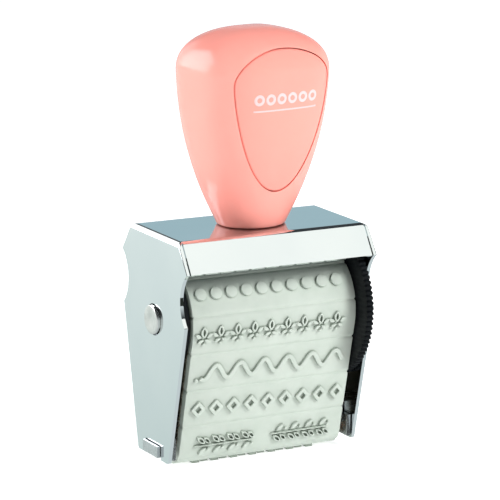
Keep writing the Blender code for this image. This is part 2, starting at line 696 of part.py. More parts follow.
def panel_solid(name, side, grow, outer_lift, inner_lift, material=None):
    """Egg-shaped shell that follows the handle's face between two lifts from it."""
    outline = panel_outline(grow)
    middle = PANEL_CENTRE_HEIGHT - 0.25 * PANEL_FALL
    shares = (1.0, 0.8, 0.55, 0.28)
    mesh_data = bmesh.new()
    skins = []
    for lift in (outer_lift, inner_lift):
        rows = []
        for share in shares:
            row = []
            for x, height in outline:
                x, height = x * share, middle + (height - middle) * share
                row.append(mesh_data.verts.new((*turned(x, side * (handle_face(x, height) + lift)), height)))
            rows.append(row)
        centre = mesh_data.verts.new((*turned(0.0, side * (handle_face(0.0, middle) + lift)), middle))
        skins.append((rows, centre))
    for rows, centre in skins:
        for outer_row, inner_row in zip(rows, rows[1:]):
            for index in range(SEGMENTS):
                following = (index + 1) % SEGMENTS
                mesh_data.faces.new((outer_row[index], outer_row[following],
                                     inner_row[following], inner_row[index]))
        for index in range(SEGMENTS):
            mesh_data.faces.new((rows[-1][index], rows[-1][(index + 1) % SEGMENTS], centre))
    outer_edge, inner_edge = skins[0][0][0], skins[1][0][0]
    for index in range(SEGMENTS):
        following = (index + 1) % SEGMENTS
        mesh_data.faces.new((outer_edge[index], outer_edge[following],
                             inner_edge[following], inner_edge[index]))
    return mesh_object(name, mesh_data, material, (0.0, 0.0, HANDLE_Z))


def build_handle_fixing(materials):
    """Screw from below through two washers and the top plate into a brass insert."""
    inner_face = TOP_Z - SHEET
    hole = SCREW_RADIUS + GAP

    def washer(name, top, outer, material, sweep):
        low = top - WASHER_THICKNESS
        return lathe(name, [(low, hole), (top, hole), (top, outer), (low, outer)], "Z", (0.0, 0.0, 0.0),
                     material, sweep=sweep, segments=32)

    plain_top = inner_face - GAP
    lock_top = plain_top - WASHER_THICKNESS - GAP
    head_top = lock_top - WASHER_THICKNESS - GAP
    plain = washer("plain_washer", plain_top, 0.0044, materials["zinc"], 2 * math.pi)
    lock = washer("lock_washer", lock_top, 0.0034, materials["spring_steel"], math.radians(345.0))

    head_low = head_top - SCREW_HEAD_HEIGHT
    screw_top = HANDLE_Z + INSERT_LENGTH + GAP
    edge = 0.0006
    screw = lathe("handle_screw", [(head_low, 0.0), (head_low, SCREW_HEAD_RADIUS - edge),
                                   (head_low + edge, SCREW_HEAD_RADIUS), (head_top, SCREW_HEAD_RADIUS),
                                   (head_top, SCREW_RADIUS), (screw_top, SCREW_RADIUS), (screw_top, 0.0)],
                  "Z", (0.0, 0.0, 0.0), materials["zinc"], segments=32)
    cut(screw, box("cutter_screw_slot", (-0.005, -0.0004, head_low - 0.001),
                   (0.005, 0.0004, head_low + 0.0009)))

    low, high = HANDLE_Z + GAP, HANDLE_Z + GAP + INSERT_LENGTH
    waist = 0.0012
    middle = (low + high) / 2
    insert = lathe("threaded_insert", [(low, hole), (high, hole), (high, INSERT_RADIUS),
                                       (middle + waist, INSERT_RADIUS), (middle + waist, INSERT_RADIUS - 0.0003),
                                       (middle - waist, INSERT_RADIUS - 0.0003), (middle - waist, INSERT_RADIUS),
                                       (low, INSERT_RADIUS)],
                   "Z", (0.0, 0.0, 0.0), materials["brass"], segments=32)

    pin_low = inner_face - 0.0005
    pin_high = pin_low + LOCATING_PIN_LENGTH
    pin = lathe("locating_pin", [(pin_low, 0.0), (pin_low, LOCATING_PIN_RADIUS),
                                 (pin_high, LOCATING_PIN_RADIUS), (pin_high, 0.0)],
                "Z", (LOCATING_PIN_X, 0.0, 0.0), materials["steel"], segments=16)
    return [plain, lock, screw, insert, pin]


# ---------------------------------------------------------------- assembly

def main():
    clear_scene()
    materials = make_materials()
    build_housing(materials)
    build_handle_body(materials)
    for side, word in ((-1, "front"), (1, "back")):
        panel_solid(f"handle_{word}_inlay", side, 0.0, -PANEL_SUNK, -PANEL_SUNK - PANEL_THICKNESS,
                    materials["inlay"])
    build_handle_fixing(materials)
    build_band(materials)
    build_print_bar(materials)
    build_cushion(materials)

    turning, pin_hole = build_axle(materials)
    turning += build_drum(materials, pin_hole)
    turning.append(build_disc("thumb_wheel", toothed_outline(), 1, materials["black"]))
    turning.append(build_disc("left_flange", circle(FLANGE_RADIUS, (0.0, AXLE_Z), 64), -1, materials["grey"]))
    turning.append(build_retaining_ring("retaining_ring_left", -1, materials))
    turning.append(build_retaining_ring("retaining_ring_right", 1, materials))
    pivot = bpy.data.objects.new("axle_pivot", None)
    pivot.location = (0.0, 0.0, AXLE_Z)
    bpy.context.scene.collection.objects.link(pivot)
    parent_to(pivot, turning)


main()
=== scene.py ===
"""Looks of the rotary band stamp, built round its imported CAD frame.

Frame: metres, +Z up, -Y the front, +X towards the thumb wheel. The origin is the centre of the
print face. Outlines drawn flat (patterns, plates) are in millimetres until they are mapped.
"""
import json
import math

import bmesh
import bpy
from mathutils import Matrix, Vector

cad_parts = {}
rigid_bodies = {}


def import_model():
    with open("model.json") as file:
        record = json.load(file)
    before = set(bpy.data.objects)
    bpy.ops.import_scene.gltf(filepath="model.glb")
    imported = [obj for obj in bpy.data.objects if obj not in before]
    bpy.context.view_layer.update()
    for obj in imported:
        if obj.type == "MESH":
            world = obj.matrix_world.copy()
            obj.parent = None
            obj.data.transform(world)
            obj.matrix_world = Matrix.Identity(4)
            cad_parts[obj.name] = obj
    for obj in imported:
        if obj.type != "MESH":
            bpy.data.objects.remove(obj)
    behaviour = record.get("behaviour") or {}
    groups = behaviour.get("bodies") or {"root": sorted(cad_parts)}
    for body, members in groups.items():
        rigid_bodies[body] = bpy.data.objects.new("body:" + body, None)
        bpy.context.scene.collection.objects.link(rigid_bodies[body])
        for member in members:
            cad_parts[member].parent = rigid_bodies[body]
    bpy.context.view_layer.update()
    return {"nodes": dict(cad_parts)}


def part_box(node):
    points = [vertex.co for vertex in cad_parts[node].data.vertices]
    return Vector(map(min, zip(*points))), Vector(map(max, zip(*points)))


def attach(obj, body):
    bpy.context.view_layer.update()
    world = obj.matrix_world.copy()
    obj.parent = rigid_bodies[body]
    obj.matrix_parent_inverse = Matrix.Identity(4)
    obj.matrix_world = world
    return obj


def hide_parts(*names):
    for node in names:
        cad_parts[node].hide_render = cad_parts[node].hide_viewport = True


MM = 0.001

for item in list(bpy.data.objects):
    bpy.data.objects.remove(item, do_unlink=True)
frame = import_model()

# Places read from the frame.
HOUSING_LOW, HOUSING_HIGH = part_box("frame_housing")
AXLE_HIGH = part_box("axle_shaft")[1]
BAND_LOW, BAND_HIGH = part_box("pattern_band")
HANDLE_LOW, HANDLE_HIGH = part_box("handle_body")
WHEEL_LOW, WHEEL_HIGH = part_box("thumb_wheel")
FLANGE_LOW, FLANGE_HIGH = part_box("left_flange")
CUSHION_LOW, CUSHION_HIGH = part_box("print_cushion")
BAR_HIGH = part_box("print_bar")[1]

FOOT_Z = HOUSING_LOW.z
TOP_Z = HOUSING_HIGH.z
PLATE_OUTER_X = HOUSING_HIGH.x
AXLE_Z = (WHEEL_LOW.z + WHEEL_HIGH.z) / 2
WHEEL_RADIUS = (WHEEL_HIGH.z - WHEEL_LOW.z) / 2
HANDLE_Z = HANDLE_LOW.z
HANDLE_HEIGHT = HANDLE_HIGH.z - HANDLE_LOW.z
BAND_HALF_WIDTH = BAND_HIGH.x

# The folded sheet.
GAP = 0.0003
SHEET = 0.0010
FRAME_HEIGHT = TOP_Z - FOOT_Z
TOP_HALF_DEPTH = 0.0138
LIP_HALF_DEPTH = HOUSING_HIGH.y
LIP_DROP = 0.0079
FOOT_HALF_DEPTH = 0.0089
TAPER_TOP = (0.0180, 0.0395)
NOTCH_CENTRE = (0.02534, 0.04633)
BEND_RADIUS = 0.0008
SIDE_BEND_RADIUS = 0.0018
LIP_BEND_RADIUS = 0.0024
LIP_END_GAP = 0.0004
SCREW_HOLE_RADIUS = 0.0023
PLATE_EDGE = 0.00012

# The axle in metres, and the moulded discs on it in millimetres.
AXLE_RADIUS = 0.0040
AXLE_HOLE_RADIUS = 0.00434
RING_GROOVE_RADIUS = 0.0033
WHEEL_TEETH = 90
TOOTH_DEPTH = 0.7
COUNTERBORE_RADIUS = 7.2
HEX_HOLE_RADIUS = 6.85
DISC_WEB = 1.0

# The band's path.
BAND_DRUM_RADIUS = 0.0153
BAND_CORNER_RADIUS = 0.0050
BAND_FLAT_HALF = 0.0027
BAND_THICKNESS = 0.0019
RELIEF = 0.0008
LINING_THICKNESS = 0.0006
ROW_COUNT = 13
ROW_OFFSET = -0.0009
GROOVE_HALF_WIDTH = 0.00055

# The print bar.
BAR_HALF_DEPTH = 0.0045
TAB_HALF_DEPTH = 0.00435
TAB_ABOVE_FOOT = (0.0007, 0.0038)
BAR_FLANGE_HALF_DEPTH = 0.0088
BAR_FLANGE_ABOVE_FOOT = (0.0008, 0.0068)
BAR_FLANGE_THICKNESS = 0.0011
TAB_LENGTH = 0.0023

# The handle.
HANDLE_WIDEST = 0.0420
BASE_HALF_WIDTH = 0.0096
BASE_HALF_DEPTH = 0.0085
WIDEST_HALF_WIDTH = 0.0197
WIDEST_HALF_DEPTH = 0.0161
WIDTH_FLARE = 0.571
DEPTH_FLARE = 0.334
DOME_POWER = 2.2
PLAN_POWER = 3.1
BASE_EDGE_RADIUS = 0.0005
HANDLE_TURN = math.radians(7.0)
HANDLE_SHIFT = 0.0004
PANEL_HALF_WIDTH = 0.0151
PANEL_CENTRE_HEIGHT = 0.0402
PANEL_RISE = 0.0088
PANEL_FALL = 0.0297
PANEL_SUNK = 0.0001
PANEL_THICKNESS = 0.0015
INSERT_BORE_RADIUS = 0.0035
INSERT_BORE_DEPTH = 0.0109


# ---- materials

def shader_node(tree, kind, values, links, **settings):
    """Add a shader node with its settings, its inputs' values and the sources linked to its inputs."""
    node = tree.nodes.new("ShaderNode" + kind)
    for name, setting in settings.items():
        setattr(node, name, setting)
    for socket, value in values.items():
        node.inputs[socket].default_value = value
    for socket, source in links.items():
        tree.links.new(source, node.inputs[socket])
    return node


class Finish:
    """A Principled material with procedural detail in object space."""

    def __init__(self, name, colour, roughness, metallic=0.0):
        self.material = bpy.data.materials.new(name)
        self.material.use_nodes = True
        self.tree = self.material.node_tree
        self.shader = self.tree.nodes["Principled BSDF"]
        self.set("Base Color", (*colour, 1.0))
        self.set("Roughness", roughness)
        self.set("Metallic", metallic)
        self.place = self.node("TexCoord").outputs["Object"]
        self.relief = None

    def set(self, socket, value):
        self.shader.inputs[socket].default_value = value

    def node(self, kind, values=None, links=None, **settings):
        return shader_node(self.tree, kind, values or {}, links or {}, **settings)

    def stretched(self, scale):
        """Object coordinates stretched by a factor along each axis."""
        return self.node("Mapping", {"Scale": scale}, {"Vector": self.place}).outputs["Vector"]

    def noise(self, scale, detail=3.0, rough=0.5, place=None):
        values = {"Scale": scale, "Detail": detail, "Roughness": rough}
        return self.node("TexNoise", values, {"Vector": place or self.place}).outputs["Fac"]

    def wave(self, scale, axis, distortion):
        values = {"Scale": scale, "Distortion": distortion}
        return self.node("TexWave", values, {"Vector": self.place}, bands_direction=axis).outputs["Fac"]

    def spread(self, factor, low, high, start=0.3, stop=0.7):
        """A factor mapped from start..stop to low..high."""
        values = {"From Min": start, "From Max": stop, "To Min": low, "To Max": high}
        return self.node("MapRange", values, {"Value": factor}).outputs["Result"]

    def tint(self, factor, low, high, start=0.3, stop=0.7):
        """Colour that runs from low to high with a factor."""
        node = self.node("ValToRGB", {}, {"Fac": factor})
        first, last = node.color_ramp.elements
        first.position, last.position = start, stop
        first.color, last.color = (*low, 1.0), (*high, 1.0)
        return node.outputs["Color"]

    def painted_crevice_shade(self, source, reach, depth):
        """A colour with painted shade: it darkens in crevices narrower than a reach."""
        crevice = self.node("AmbientOcclusion", {"Distance": reach}, samples=8).outputs["AO"]
        links = {"A": source, "B": self.tint(crevice, depth, (1.0, 1.0, 1.0), 0.25, 0.85)}
        mix = self.node("Mix", {"Factor": 1.0}, links, data_type="RGBA", blend_type="MULTIPLY")
        return mix.outputs["Result"]

    def colour(self, source):
        self.tree.links.new(source, self.shader.inputs["Base Color"])

    def roughness(self, source):
        self.tree.links.new(source, self.shader.inputs["Roughness"])

    def bump(self, source, strength, distance):
        """Add relief. Bumps chain one after another."""
        links = {"Height": source}
        if self.relief:
            links["Normal"] = self.relief
        node = self.node("Bump", {"Strength": strength, "Distance": distance}, links)
        self.relief = node.outputs["Normal"]
        self.tree.links.new(self.relief, self.shader.inputs["Normal"])
        return self


def chrome_finish():
    made = Finish("chrome_plate", (0.72, 0.76, 0.77), 0.05, 1.0)
    made.roughness(made.spread(made.noise(90.0), 0.035, 0.07))
    made.colour(made.tint(made.noise(45.0, 2.0), (0.70, 0.745, 0.755), (0.74, 0.78, 0.785)))
    return made.bump(made.noise(28.0, 1.0), 0.05, 0.0004).material


def metal_finish(name, colour, roughness, grain_scale=(60.0, 900.0, 900.0)):
    """Drawn or turned metal with fine lines along X."""
    made = Finish(name, colour, roughness, 1.0)
    lines = made.noise(1.0, 2.0, place=made.stretched(grain_scale))
    made.roughness(made.spread(lines, roughness * 0.75, roughness * 1.35))
    darker = tuple(0.82 * value for value in colour)
    made.colour(made.tint(made.noise(350.0), darker, colour))
    return made.bump(lines, 0.15, 0.00003).material


def handle_finish(name, colour, deep, roughness, grain):
    """Moulded plastic: faint flow tints and a fine moulded texture."""
    made = Finish(name, colour, roughness)
    made.set("IOR", 1.46)
    made.set("Specular IOR Level", 0.4)
    made.set("Subsurface Weight", 0.08)
    made.set("Subsurface Radius", (1.0, 0.45, 0.35))
    made.set("Subsurface Scale", 0.0015)
    made.colour(made.tint(made.noise(38.0, 2.0), deep, colour, 0.35, 0.6))
    made.roughness(made.spread(made.noise(160.0), roughness * 0.85, roughness * 1.15))
    return made.bump(made.noise(1500.0, 2.0), grain, 0.00003).material


def rubber_finish(name, colour, deep, roughness, grain=0.35):
    """Moulded rubber: mottled colour, painted shade in its crevices, pores and a soft sheen."""
    made = Finish(name, colour, roughness)
    mottled = made.tint(made.noise(120.0, 4.0, 0.6), deep, colour, 0.32, 0.62)
    # Painted shade: ambient occlusion darkens the mottled colour in the crevices of the relief.
    made.colour(made.painted_crevice_shade(mottled, 0.0010, (0.50, 0.54, 0.49)))
    made.roughness(made.spread(made.noise(600.0), roughness * 0.85, roughness * 1.15))
    made.bump(made.noise(2600.0, 3.0), grain, 0.00002)
    return made.bump(made.noise(260.0, 2.0), 0.25, 0.00005).material


def moulded_finish(name, colour, roughness):
    """Dark moulded plastic with a spark-eroded texture."""
    made = Finish(name, colour, roughness)
    made.set("Specular IOR Level", 0.2)
    lighter = tuple(min(1.0, 1.5 * value + 0.002) for value in colour)
    made.colour(made.tint(made.noise(200.0), colour, lighter))
    made.roughness(made.spread(made.noise(500.0), roughness * 0.8, roughness * 1.2))
    return made.bump(made.noise(3000.0, 2.0), 0.4, 0.00003).material


def woven_finish():
    """Coarse woven lining: crossed threads."""
    made = Finish("woven_lining", (0.40, 0.36, 0.27), 0.9)
    warp, weft = made.wave(900.0, "X", 0.6), made.wave(900.0, "Z", 0.6)
    made.colour(made.tint(warp, (0.26, 0.23, 0.17), (0.46, 0.42, 0.32)))
    made.bump(warp, 0.5, 0.0001)
    return made.bump(weft, 0.5, 0.0001).material


def sponge_finish():
    """Open-cell sponge rubber."""
    made = Finish("sponge_rubber", (0.36, 0.25, 0.17), 0.95)
    cells = made.node("TexVoronoi", {"Scale": 1600.0}, {"Vector": made.place}).outputs["Distance"]
    made.colour(made.tint(cells, (0.20, 0.13, 0.08), (0.42, 0.30, 0.20), 0.1, 0.6))
    return made.bump(cells, 0.7, 0.0002).material


CHROME = chrome_finish()
PINK = handle_finish("pink_gloss_plastic", (0.93, 0.345, 0.29), (0.91, 0.33, 0.275), 0.20, 0.05)
PANEL_PINK = handle_finish("pink_satin_plastic", (0.94, 0.315, 0.26), (0.93, 0.30, 0.25), 0.45, 0.25)
PRINT_WHITE = handle_finish("pale_print", (0.94, 0.52, 0.52), (0.93, 0.50, 0.50), 0.45, 0.2)
BAND = rubber_finish("stamp_rubber", (0.470, 0.522, 0.468), (0.430, 0.486, 0.430), 0.62)
GRIP = rubber_finish("grip_rubber", (0.05, 0.045, 0.04), (0.03, 0.028, 0.025), 0.8)
BLACK = moulded_finish("black_plastic", (0.003, 0.004, 0.005), 0.55)
GREY = moulded_finish("dark_grey_plastic", (0.05, 0.05, 0.055), 0.45)
STEEL = metal_finish("bright_steel", (0.80, 0.79, 0.76), 0.20)
BAR_STEEL = metal_finish("pressed_steel", (0.64, 0.65, 0.66), 0.24)
SPRING_STEEL = metal_finish("spring_steel", (0.30, 0.30, 0.32), 0.34)
ZINC = metal_finish("zinc_plated_steel", (0.66, 0.67, 0.68), 0.34)
BRASS = metal_finish("turned_brass", (0.78, 0.57, 0.26), 0.28)
LINING = woven_finish()
SPONGE = sponge_finish()


# ---- building blocks

def placed(name, data):
    """Put a mesh, curve, light or camera into the scene as an object."""
    item = bpy.data.objects.new(name, data)
    bpy.context.scene.collection.objects.link(item)
    return item


def piece(name, mesh_data, material, sharp=35.0):
    """Turn a bmesh into a smooth-shaded object with sharp edges where faces meet steeply."""
    bmesh.ops.recalc_face_normals(mesh_data, faces=mesh_data.faces)
    mesh = bpy.data.meshes.new(name)
    mesh_data.to_mesh(mesh)
    mesh_data.free()
    mesh.shade_smooth()
    mesh.set_sharp_from_angle(angle=math.radians(sharp))
    mesh.materials.append(material)
    return placed(name, mesh)


def baked_mesh(item):
    graph = bpy.context.evaluated_depsgraph_get()
    return bpy.data.meshes.new_from_object(item.evaluated_get(graph), depsgraph=graph)


def bake(item):
    """Replace an object's mesh by the result of its modifiers."""
    mesh = baked_mesh(item)
    item.modifiers.clear()
    item.data = mesh


def boolean(target, operation, *others):
    """Cut others from a solid, or join them to it, and bake the result."""
    for other in others:
        modifier = target.modifiers.new(other.name, "BOOLEAN")
        modifier.operation = operation
        modifier.solver = "EXACT"
        modifier.object = other
    bake(target)
    for other in others:
        bpy.data.objects.remove(other, do_unlink=True)


def soften(item, width, segments=2):
    """Round the steep edges, and keep the flat faces' shading flat."""
    bevel = item.modifiers.new("edges", "BEVEL")
    bevel.width = width
    bevel.segments = segments
    bevel.limit_method = "ANGLE"
    bevel.angle_limit = math.radians(35.0)
    bevel.use_clamp_overlap = True
    bake(item)
    item.data.shade_smooth()
    item.data.set_sharp_from_angle(angle=math.radians(60.0))
    weighted = item.modifiers.new("flat_shading", "WEIGHTED_NORMAL")
    weighted.mode = "FACE_AREA"
    weighted.weight = 50
    weighted.keep_sharp = True
    bake(item)


def finished(item, body, slot, *nodes):
    """Tie a piece to its body, in place of CAD nodes. The slot argument is not used."""
    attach(item, body)
    if nodes:
        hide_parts(*nodes)


def rounded(corners, steps=6):
    """Outline through corners given as (u, v, radius), with an arc at each corner that has one."""
    points = []
    count = len(corners)
    for index, (u, v, radius) in enumerate(corners):
        if radius <= 0.0:
            points.append((u, v))
            continue
        before = corners[index - 1]
        after = corners[(index + 1) % count]
        angle_in = math.atan2(before[1] - v, before[0] - u)
        angle_out = math.atan2(after[1] - v, after[0] - u)
        opening = (angle_out - angle_in + math.pi) % (2 * math.pi) - math.pi
        reach = radius / math.tan(abs(opening) / 2)
        middle = angle_in + opening / 2
        distance = radius / math.sin(abs(opening) / 2)
        centre = (u + distance * math.cos(middle), v + distance * math.sin(middle))
        start = (u + reach * math.cos(angle_in), v + reach * math.sin(angle_in))
        first = math.atan2(start[1] - centre[1], start[0] - centre[0])
        turn = math.copysign(math.pi - abs(opening), -opening)
        for step in range(steps + 1):
            angle = first + turn * step / steps
            points.append((centre[0] + radius * math.cos(angle), centre[1] + radius * math.sin(angle)))
    return points


def skin(mesh_data, rows):
    """Join each closed row of points to the next one."""
    for here, there in zip(rows, rows[1:]):
        for index in range(len(here)):
            following = (index + 1) % len(here)
            mesh_data.faces.new((here[index], here[following], there[following], there[index]))


def close_to(mesh_data, row, tip):
    """Join a closed row of points to a single point."""
    for index in range(len(row)):
        mesh_data.faces.new((row[index], row[(index + 1) % len(row)], tip))


def loft(name, stations, material, closed=False):
    """Skin closed outlines of equal length, with end caps unless the row of outlines is closed."""
    mesh_data = bmesh.new()
    rows = [[mesh_data.verts.new(point) for point in station] for station in stations]
    if not closed:
        mesh_data.faces.new(rows[0])
        mesh_data.faces.new(rows[-1])
    skin(mesh_data, rows + rows[:1] if closed else rows)
    bmesh.ops.remove_doubles(mesh_data, verts=mesh_data.verts, dist=1e-7)
    return piece(name, mesh_data, material)


def prism(name, outline, axis, low, high, material):
    place = {
        "X": lambda u, v, w: (w, u, v),
        "Y": lambda u, v, w: (u, w, v),
        "Z": lambda u, v, w: (u, v, w),
    }[axis]
    return loft(name, [[place(u, v, end) for u, v in outline] for end in (low, high)], material)


def box(name, low, high, material):
    outline = [(low[0], low[1]), (high[0], low[1]), (high[0], high[1]), (low[0], high[1])]
    return prism(name, outline, "Z", low[2], high[2], material)


def spun(u, v, angle):
    """A flat point turned about the origin."""
    return u * math.cos(angle) - v * math.sin(angle), u * math.sin(angle) + v * math.cos(angle)


def circle(radius, centre=(0.0, 0.0), segments=64):
    angles = [2 * math.pi * step / segments for step in range(segments)]
    return [(centre[0] + radius * math.cos(angle), centre[1] + radius * math.sin(angle)) for angle in angles]


def quarter_round(corner, radius, steps):
    """Arc inside a corner, from its top face round to its side face."""
    turns = [0.5 * math.pi * step / steps for step in range(steps + 1)]
    return [(corner[0] - radius * (1.0 - math.sin(turn)), corner[1] - radius * (1.0 - math.cos(turn)))
            for turn in turns]


def pierced(outline, hole):
    """An outline and the hole in it, wound the other way."""
    return [outline, list(reversed(hole))]


def rounded_box(centre, half_width, half_height, radius=0.0):
    left, right = centre[0] - half_width, centre[0] + half_width
    bottom, top = centre[1] - half_height, centre[1] + half_height
    return rounded([(left, bottom, radius), (right, bottom, radius),
                    (right, top, radius), (left, top, radius)], 3)


def raised_shapes(outlines, low, high, edge, resolution=1):
    """Closed solids in millimetres from flat outlines in (u, v), standing from low to high.

    An outline inside another is a hole. The long edges are rounded by edge.
    """
    curve = bpy.data.curves.new("outline", "CURVE")
    curve.dimensions = "2D"
    curve.fill_mode = "BOTH"
    curve.extrude = (high - low) / 2 - edge
    curve.bevel_depth = edge
    curve.bevel_resolution = resolution
    curve.offset = -edge
    for outline in outlines:
        spline = curve.splines.new("POLY")
        spline.points.add(len(outline) - 1)
        for point, (u, v) in zip(spline.points, outline):
            point.co = (u, v, 0.0, 1.0)
        spline.use_cyclic_u = True
    item = placed("outline", curve)
    mesh = baked_mesh(item)
    bpy.data.objects.remove(item, do_unlink=True)
    shapes = bmesh.new()
    shapes.from_mesh(mesh)
    bmesh.ops.remove_doubles(shapes, verts=shapes.verts, dist=1e-4)
    bmesh.ops.translate(shapes, verts=shapes.verts, vec=(0.0, 0.0, (high + low) / 2))
    return shapes


def slice_across(shapes, step, normal=(0.0, 1.0, 0.0)):
    """Cut shapes at even steps along a direction, so that they can bend."""
    normal = Vector(normal)
    reaches = [vertex.co.dot(normal) for vertex in shapes.verts]
    place = min(reaches) + step
    while place < max(reaches):
        geometry = shapes.verts[:] + shapes.edges[:] + shapes.faces[:]
        bmesh.ops.bisect_plane(shapes, geom=geometry, dist=1e-5, plane_co=normal * place, plane_no=normal)
        place += step


def add_mapped(target, shapes, mapping):
    """Copy shapes into another bmesh, with each point sent through a mapping."""
    copies = {vertex: target.verts.new(mapping(*vertex.co)) for vertex in shapes.verts}
    for face in shapes.faces:
        target.faces.new([copies[vertex] for vertex in face.verts])
    shapes.free()


# ---- housing

def side_outline():
    """Side plate seen along the axle: narrow foot, concave finger notch, sloping shoulder."""
    notch_radius = math.dist(NOTCH_CENTRE, TAPER_TOP)
    shoulder = (LIP_HALF_DEPTH, FRAME_HEIGHT - LIP_DROP)
    low_angle = math.atan2(TAPER_TOP[1] - NOTCH_CENTRE[1], TAPER_TOP[0] - NOTCH_CENTRE[0])
    high_angle = math.atan2(shoulder[1] - NOTCH_CENTRE[1], shoulder[0] - NOTCH_CENTRE[0])
    sweep = (high_angle - low_angle) % (2 * math.pi) - 2 * math.pi
    notch = []
    steps = 28
    for step in range(1, steps):
        angle = low_angle + sweep * step / steps
        notch.append((NOTCH_CENTRE[0] + notch_radius * math.cos(angle),
                      NOTCH_CENTRE[1] + notch_radius * math.sin(angle), 0.0))
    back = [(FOOT_HALF_DEPTH, 0.0, BEND_RADIUS), (*TAPER_TOP, 0.0), *notch, (*shoulder, 0.0),
            (TOP_HALF_DEPTH, FRAME_HEIGHT, LIP_BEND_RADIUS)]
    front = [(-y, z, radius) for y, z, radius in reversed(back)]
    return [(y, z + FOOT_Z) for y, z in rounded(back + front, 8)]


def outer_block():
    """Solid with the housing's outer shape, rounded over along both top edges."""
    outline = side_outline()
    right = quarter_round((PLATE_OUTER_X, TOP_Z), SIDE_BEND_RADIUS, 12)
    ends = [(-x, crest) for x, crest in reversed(right)] + right
    return loft("housing_shell", [[(x, y, min(z, crest)) for y, z in outline] for x, crest in ends], CHROME)


def hollow():
    """Space inside the sheet, with a slit beside each lip's end."""
    outside, below, above = 0.025, -0.005, FRAME_HEIGHT + 0.004
    drop_y, drop_z = LIP_HALF_DEPTH - TOP_HALF_DEPTH, LIP_DROP
    length = math.hypot(drop_y, drop_z)
    normal = (drop_z / length, drop_y / length)
    ceiling = FRAME_HEIGHT - SHEET
    lip_end = (LIP_HALF_DEPTH - SHEET * normal[0], FRAME_HEIGHT - LIP_DROP - SHEET * normal[1])
    lip_root = lip_end[0] - (ceiling - lip_end[1]) * drop_y / drop_z
    past_lip = lip_end[1] + (outside - lip_end[0]) * normal[1] / normal[0]
    lip_middle = ((lip_end[0] + lip_root) / 2, (lip_end[1] + ceiling) / 2)
    root = (lip_root, ceiling)
    under_lip = [(outside, below), (outside, past_lip), lip_end, lip_middle, root]
    slit_wall = TOP_HALF_DEPTH - 0.0001
    beside_lip = [(outside, below), (outside, above), (slit_wall, above), (slit_wall, ceiling), root]

    def whole(half_outline):
        mirrored = [(-y, z) for y, z in reversed(half_outline)]
        return [(y, z + FOOT_Z) for y, z in half_outline + mirrored]

    wall = PLATE_OUTER_X - SHEET
    slit = wall - LIP_END_GAP
    sections = [(-wall, beside_lip), (-slit, beside_lip), (-slit, under_lip),
                (slit, under_lip), (slit, beside_lip), (wall, beside_lip)]
    return loft("hollow", [[(x, y, z) for y, z in whole(half)] for x, half in sections], CHROME)


def build_housing():
    """The folded, plated sheet with its holes and notches."""
    housing = outer_block()
    past = PLATE_OUTER_X + SHEET
    notch_half = TAB_HALF_DEPTH + GAP
    notch_top = FOOT_Z + TAB_ABOVE_FOOT[1] + GAP
    notch = rounded([(-notch_half, 0.0, 0.0), (notch_half, 0.0, 0.0), (notch_half, notch_top, 0.0004),
                     (-notch_half, notch_top, 0.0004)])
    boolean(housing, "DIFFERENCE", hollow())
    boolean(housing, "DIFFERENCE",
            prism("axle_holes", circle(AXLE_HOLE_RADIUS, (0.0, AXLE_Z)), "X", -past, past, CHROME),
            prism("tab_notches", notch, "X", -past, past, CHROME),
            prism("screw_hole", circle(SCREW_HOLE_RADIUS), "Z", TOP_Z - 2 * SHEET, TOP_Z + SHEET, CHROME))
    soften(housing, PLATE_EDGE)
    finished(housing, "frame", "chrome", "frame_housing")


# ---- handle

def flare(share, start, slope, end):
    """Cubic from a starting value and slope to an ending value with no slope."""
    return (start * (2 * share ** 3 - 3 * share ** 2 + 1)
            + slope * (share ** 3 - 2 * share ** 2 + share)
            + end * (3 * share ** 2 - 2 * share ** 3))


def turned(x, y):
    """A place in the handle's own plan, turned with the handle."""
    x, y = spun(x, y, HANDLE_TURN)
    return HANDLE_SHIFT + x, y


def handle_section(height):
    """Half width, half depth and plan exponent of the handle at a height above its base."""
    if height <= HANDLE_WIDEST:
        share = max(height, 0.0) / HANDLE_WIDEST
        return (flare(share, BASE_HALF_WIDTH, WIDTH_FLARE * HANDLE_WIDEST, WIDEST_HALF_WIDTH),
                flare(share, BASE_HALF_DEPTH, DEPTH_FLARE * HANDLE_WIDEST, WIDEST_HALF_DEPTH),
                2.0 + (PLAN_POWER - 2.0) * share)
    share = min((height - HANDLE_WIDEST) / (HANDLE_HEIGHT - HANDLE_WIDEST), 1.0)
    dome = (1.0 - share ** DOME_POWER) ** (1.0 / DOME_POWER)
    return WIDEST_HALF_WIDTH * dome, WIDEST_HALF_DEPTH * dome, PLAN_POWER


def handle_face(x, height):
    """How far the handle's surface stands in front of its middle plane."""
    half_width, half_depth, power = handle_section(height)
    return half_depth * max(0.0, 1.0 - abs(x / half_width) ** power) ** (1.0 / power)


def handle_ring(height, inset=0.0, segments=192):
    half_width, half_depth, power = handle_section(height)
    ring = []
    for step in range(segments):
        angle = 2 * math.pi * step / segments
        across, deep = math.cos(angle), math.sin(angle)
        x = (half_width - inset) * math.copysign(abs(across) ** (2 / power), across)
        y = (half_depth - inset) * math.copysign(abs(deep) ** (2 / power), deep)
        ring.append((*turned(x, y), HANDLE_Z + height))
    return ring


def egg_outline(grow, segments=160):
    """The inlaid panel's outline as (x, height above the handle's base)."""
    points = []
    for step in range(segments):
        angle = 2 * math.pi * step / segments
        rise = math.sin(angle)
        height = (PANEL_RISE + grow) * rise if rise >= 0 else -(PANEL_FALL + grow) * (-rise) ** (4 / 3)
        points.append(((PANEL_HALF_WIDTH + grow) * math.cos(angle), PANEL_CENTRE_HEIGHT + height))
    return points


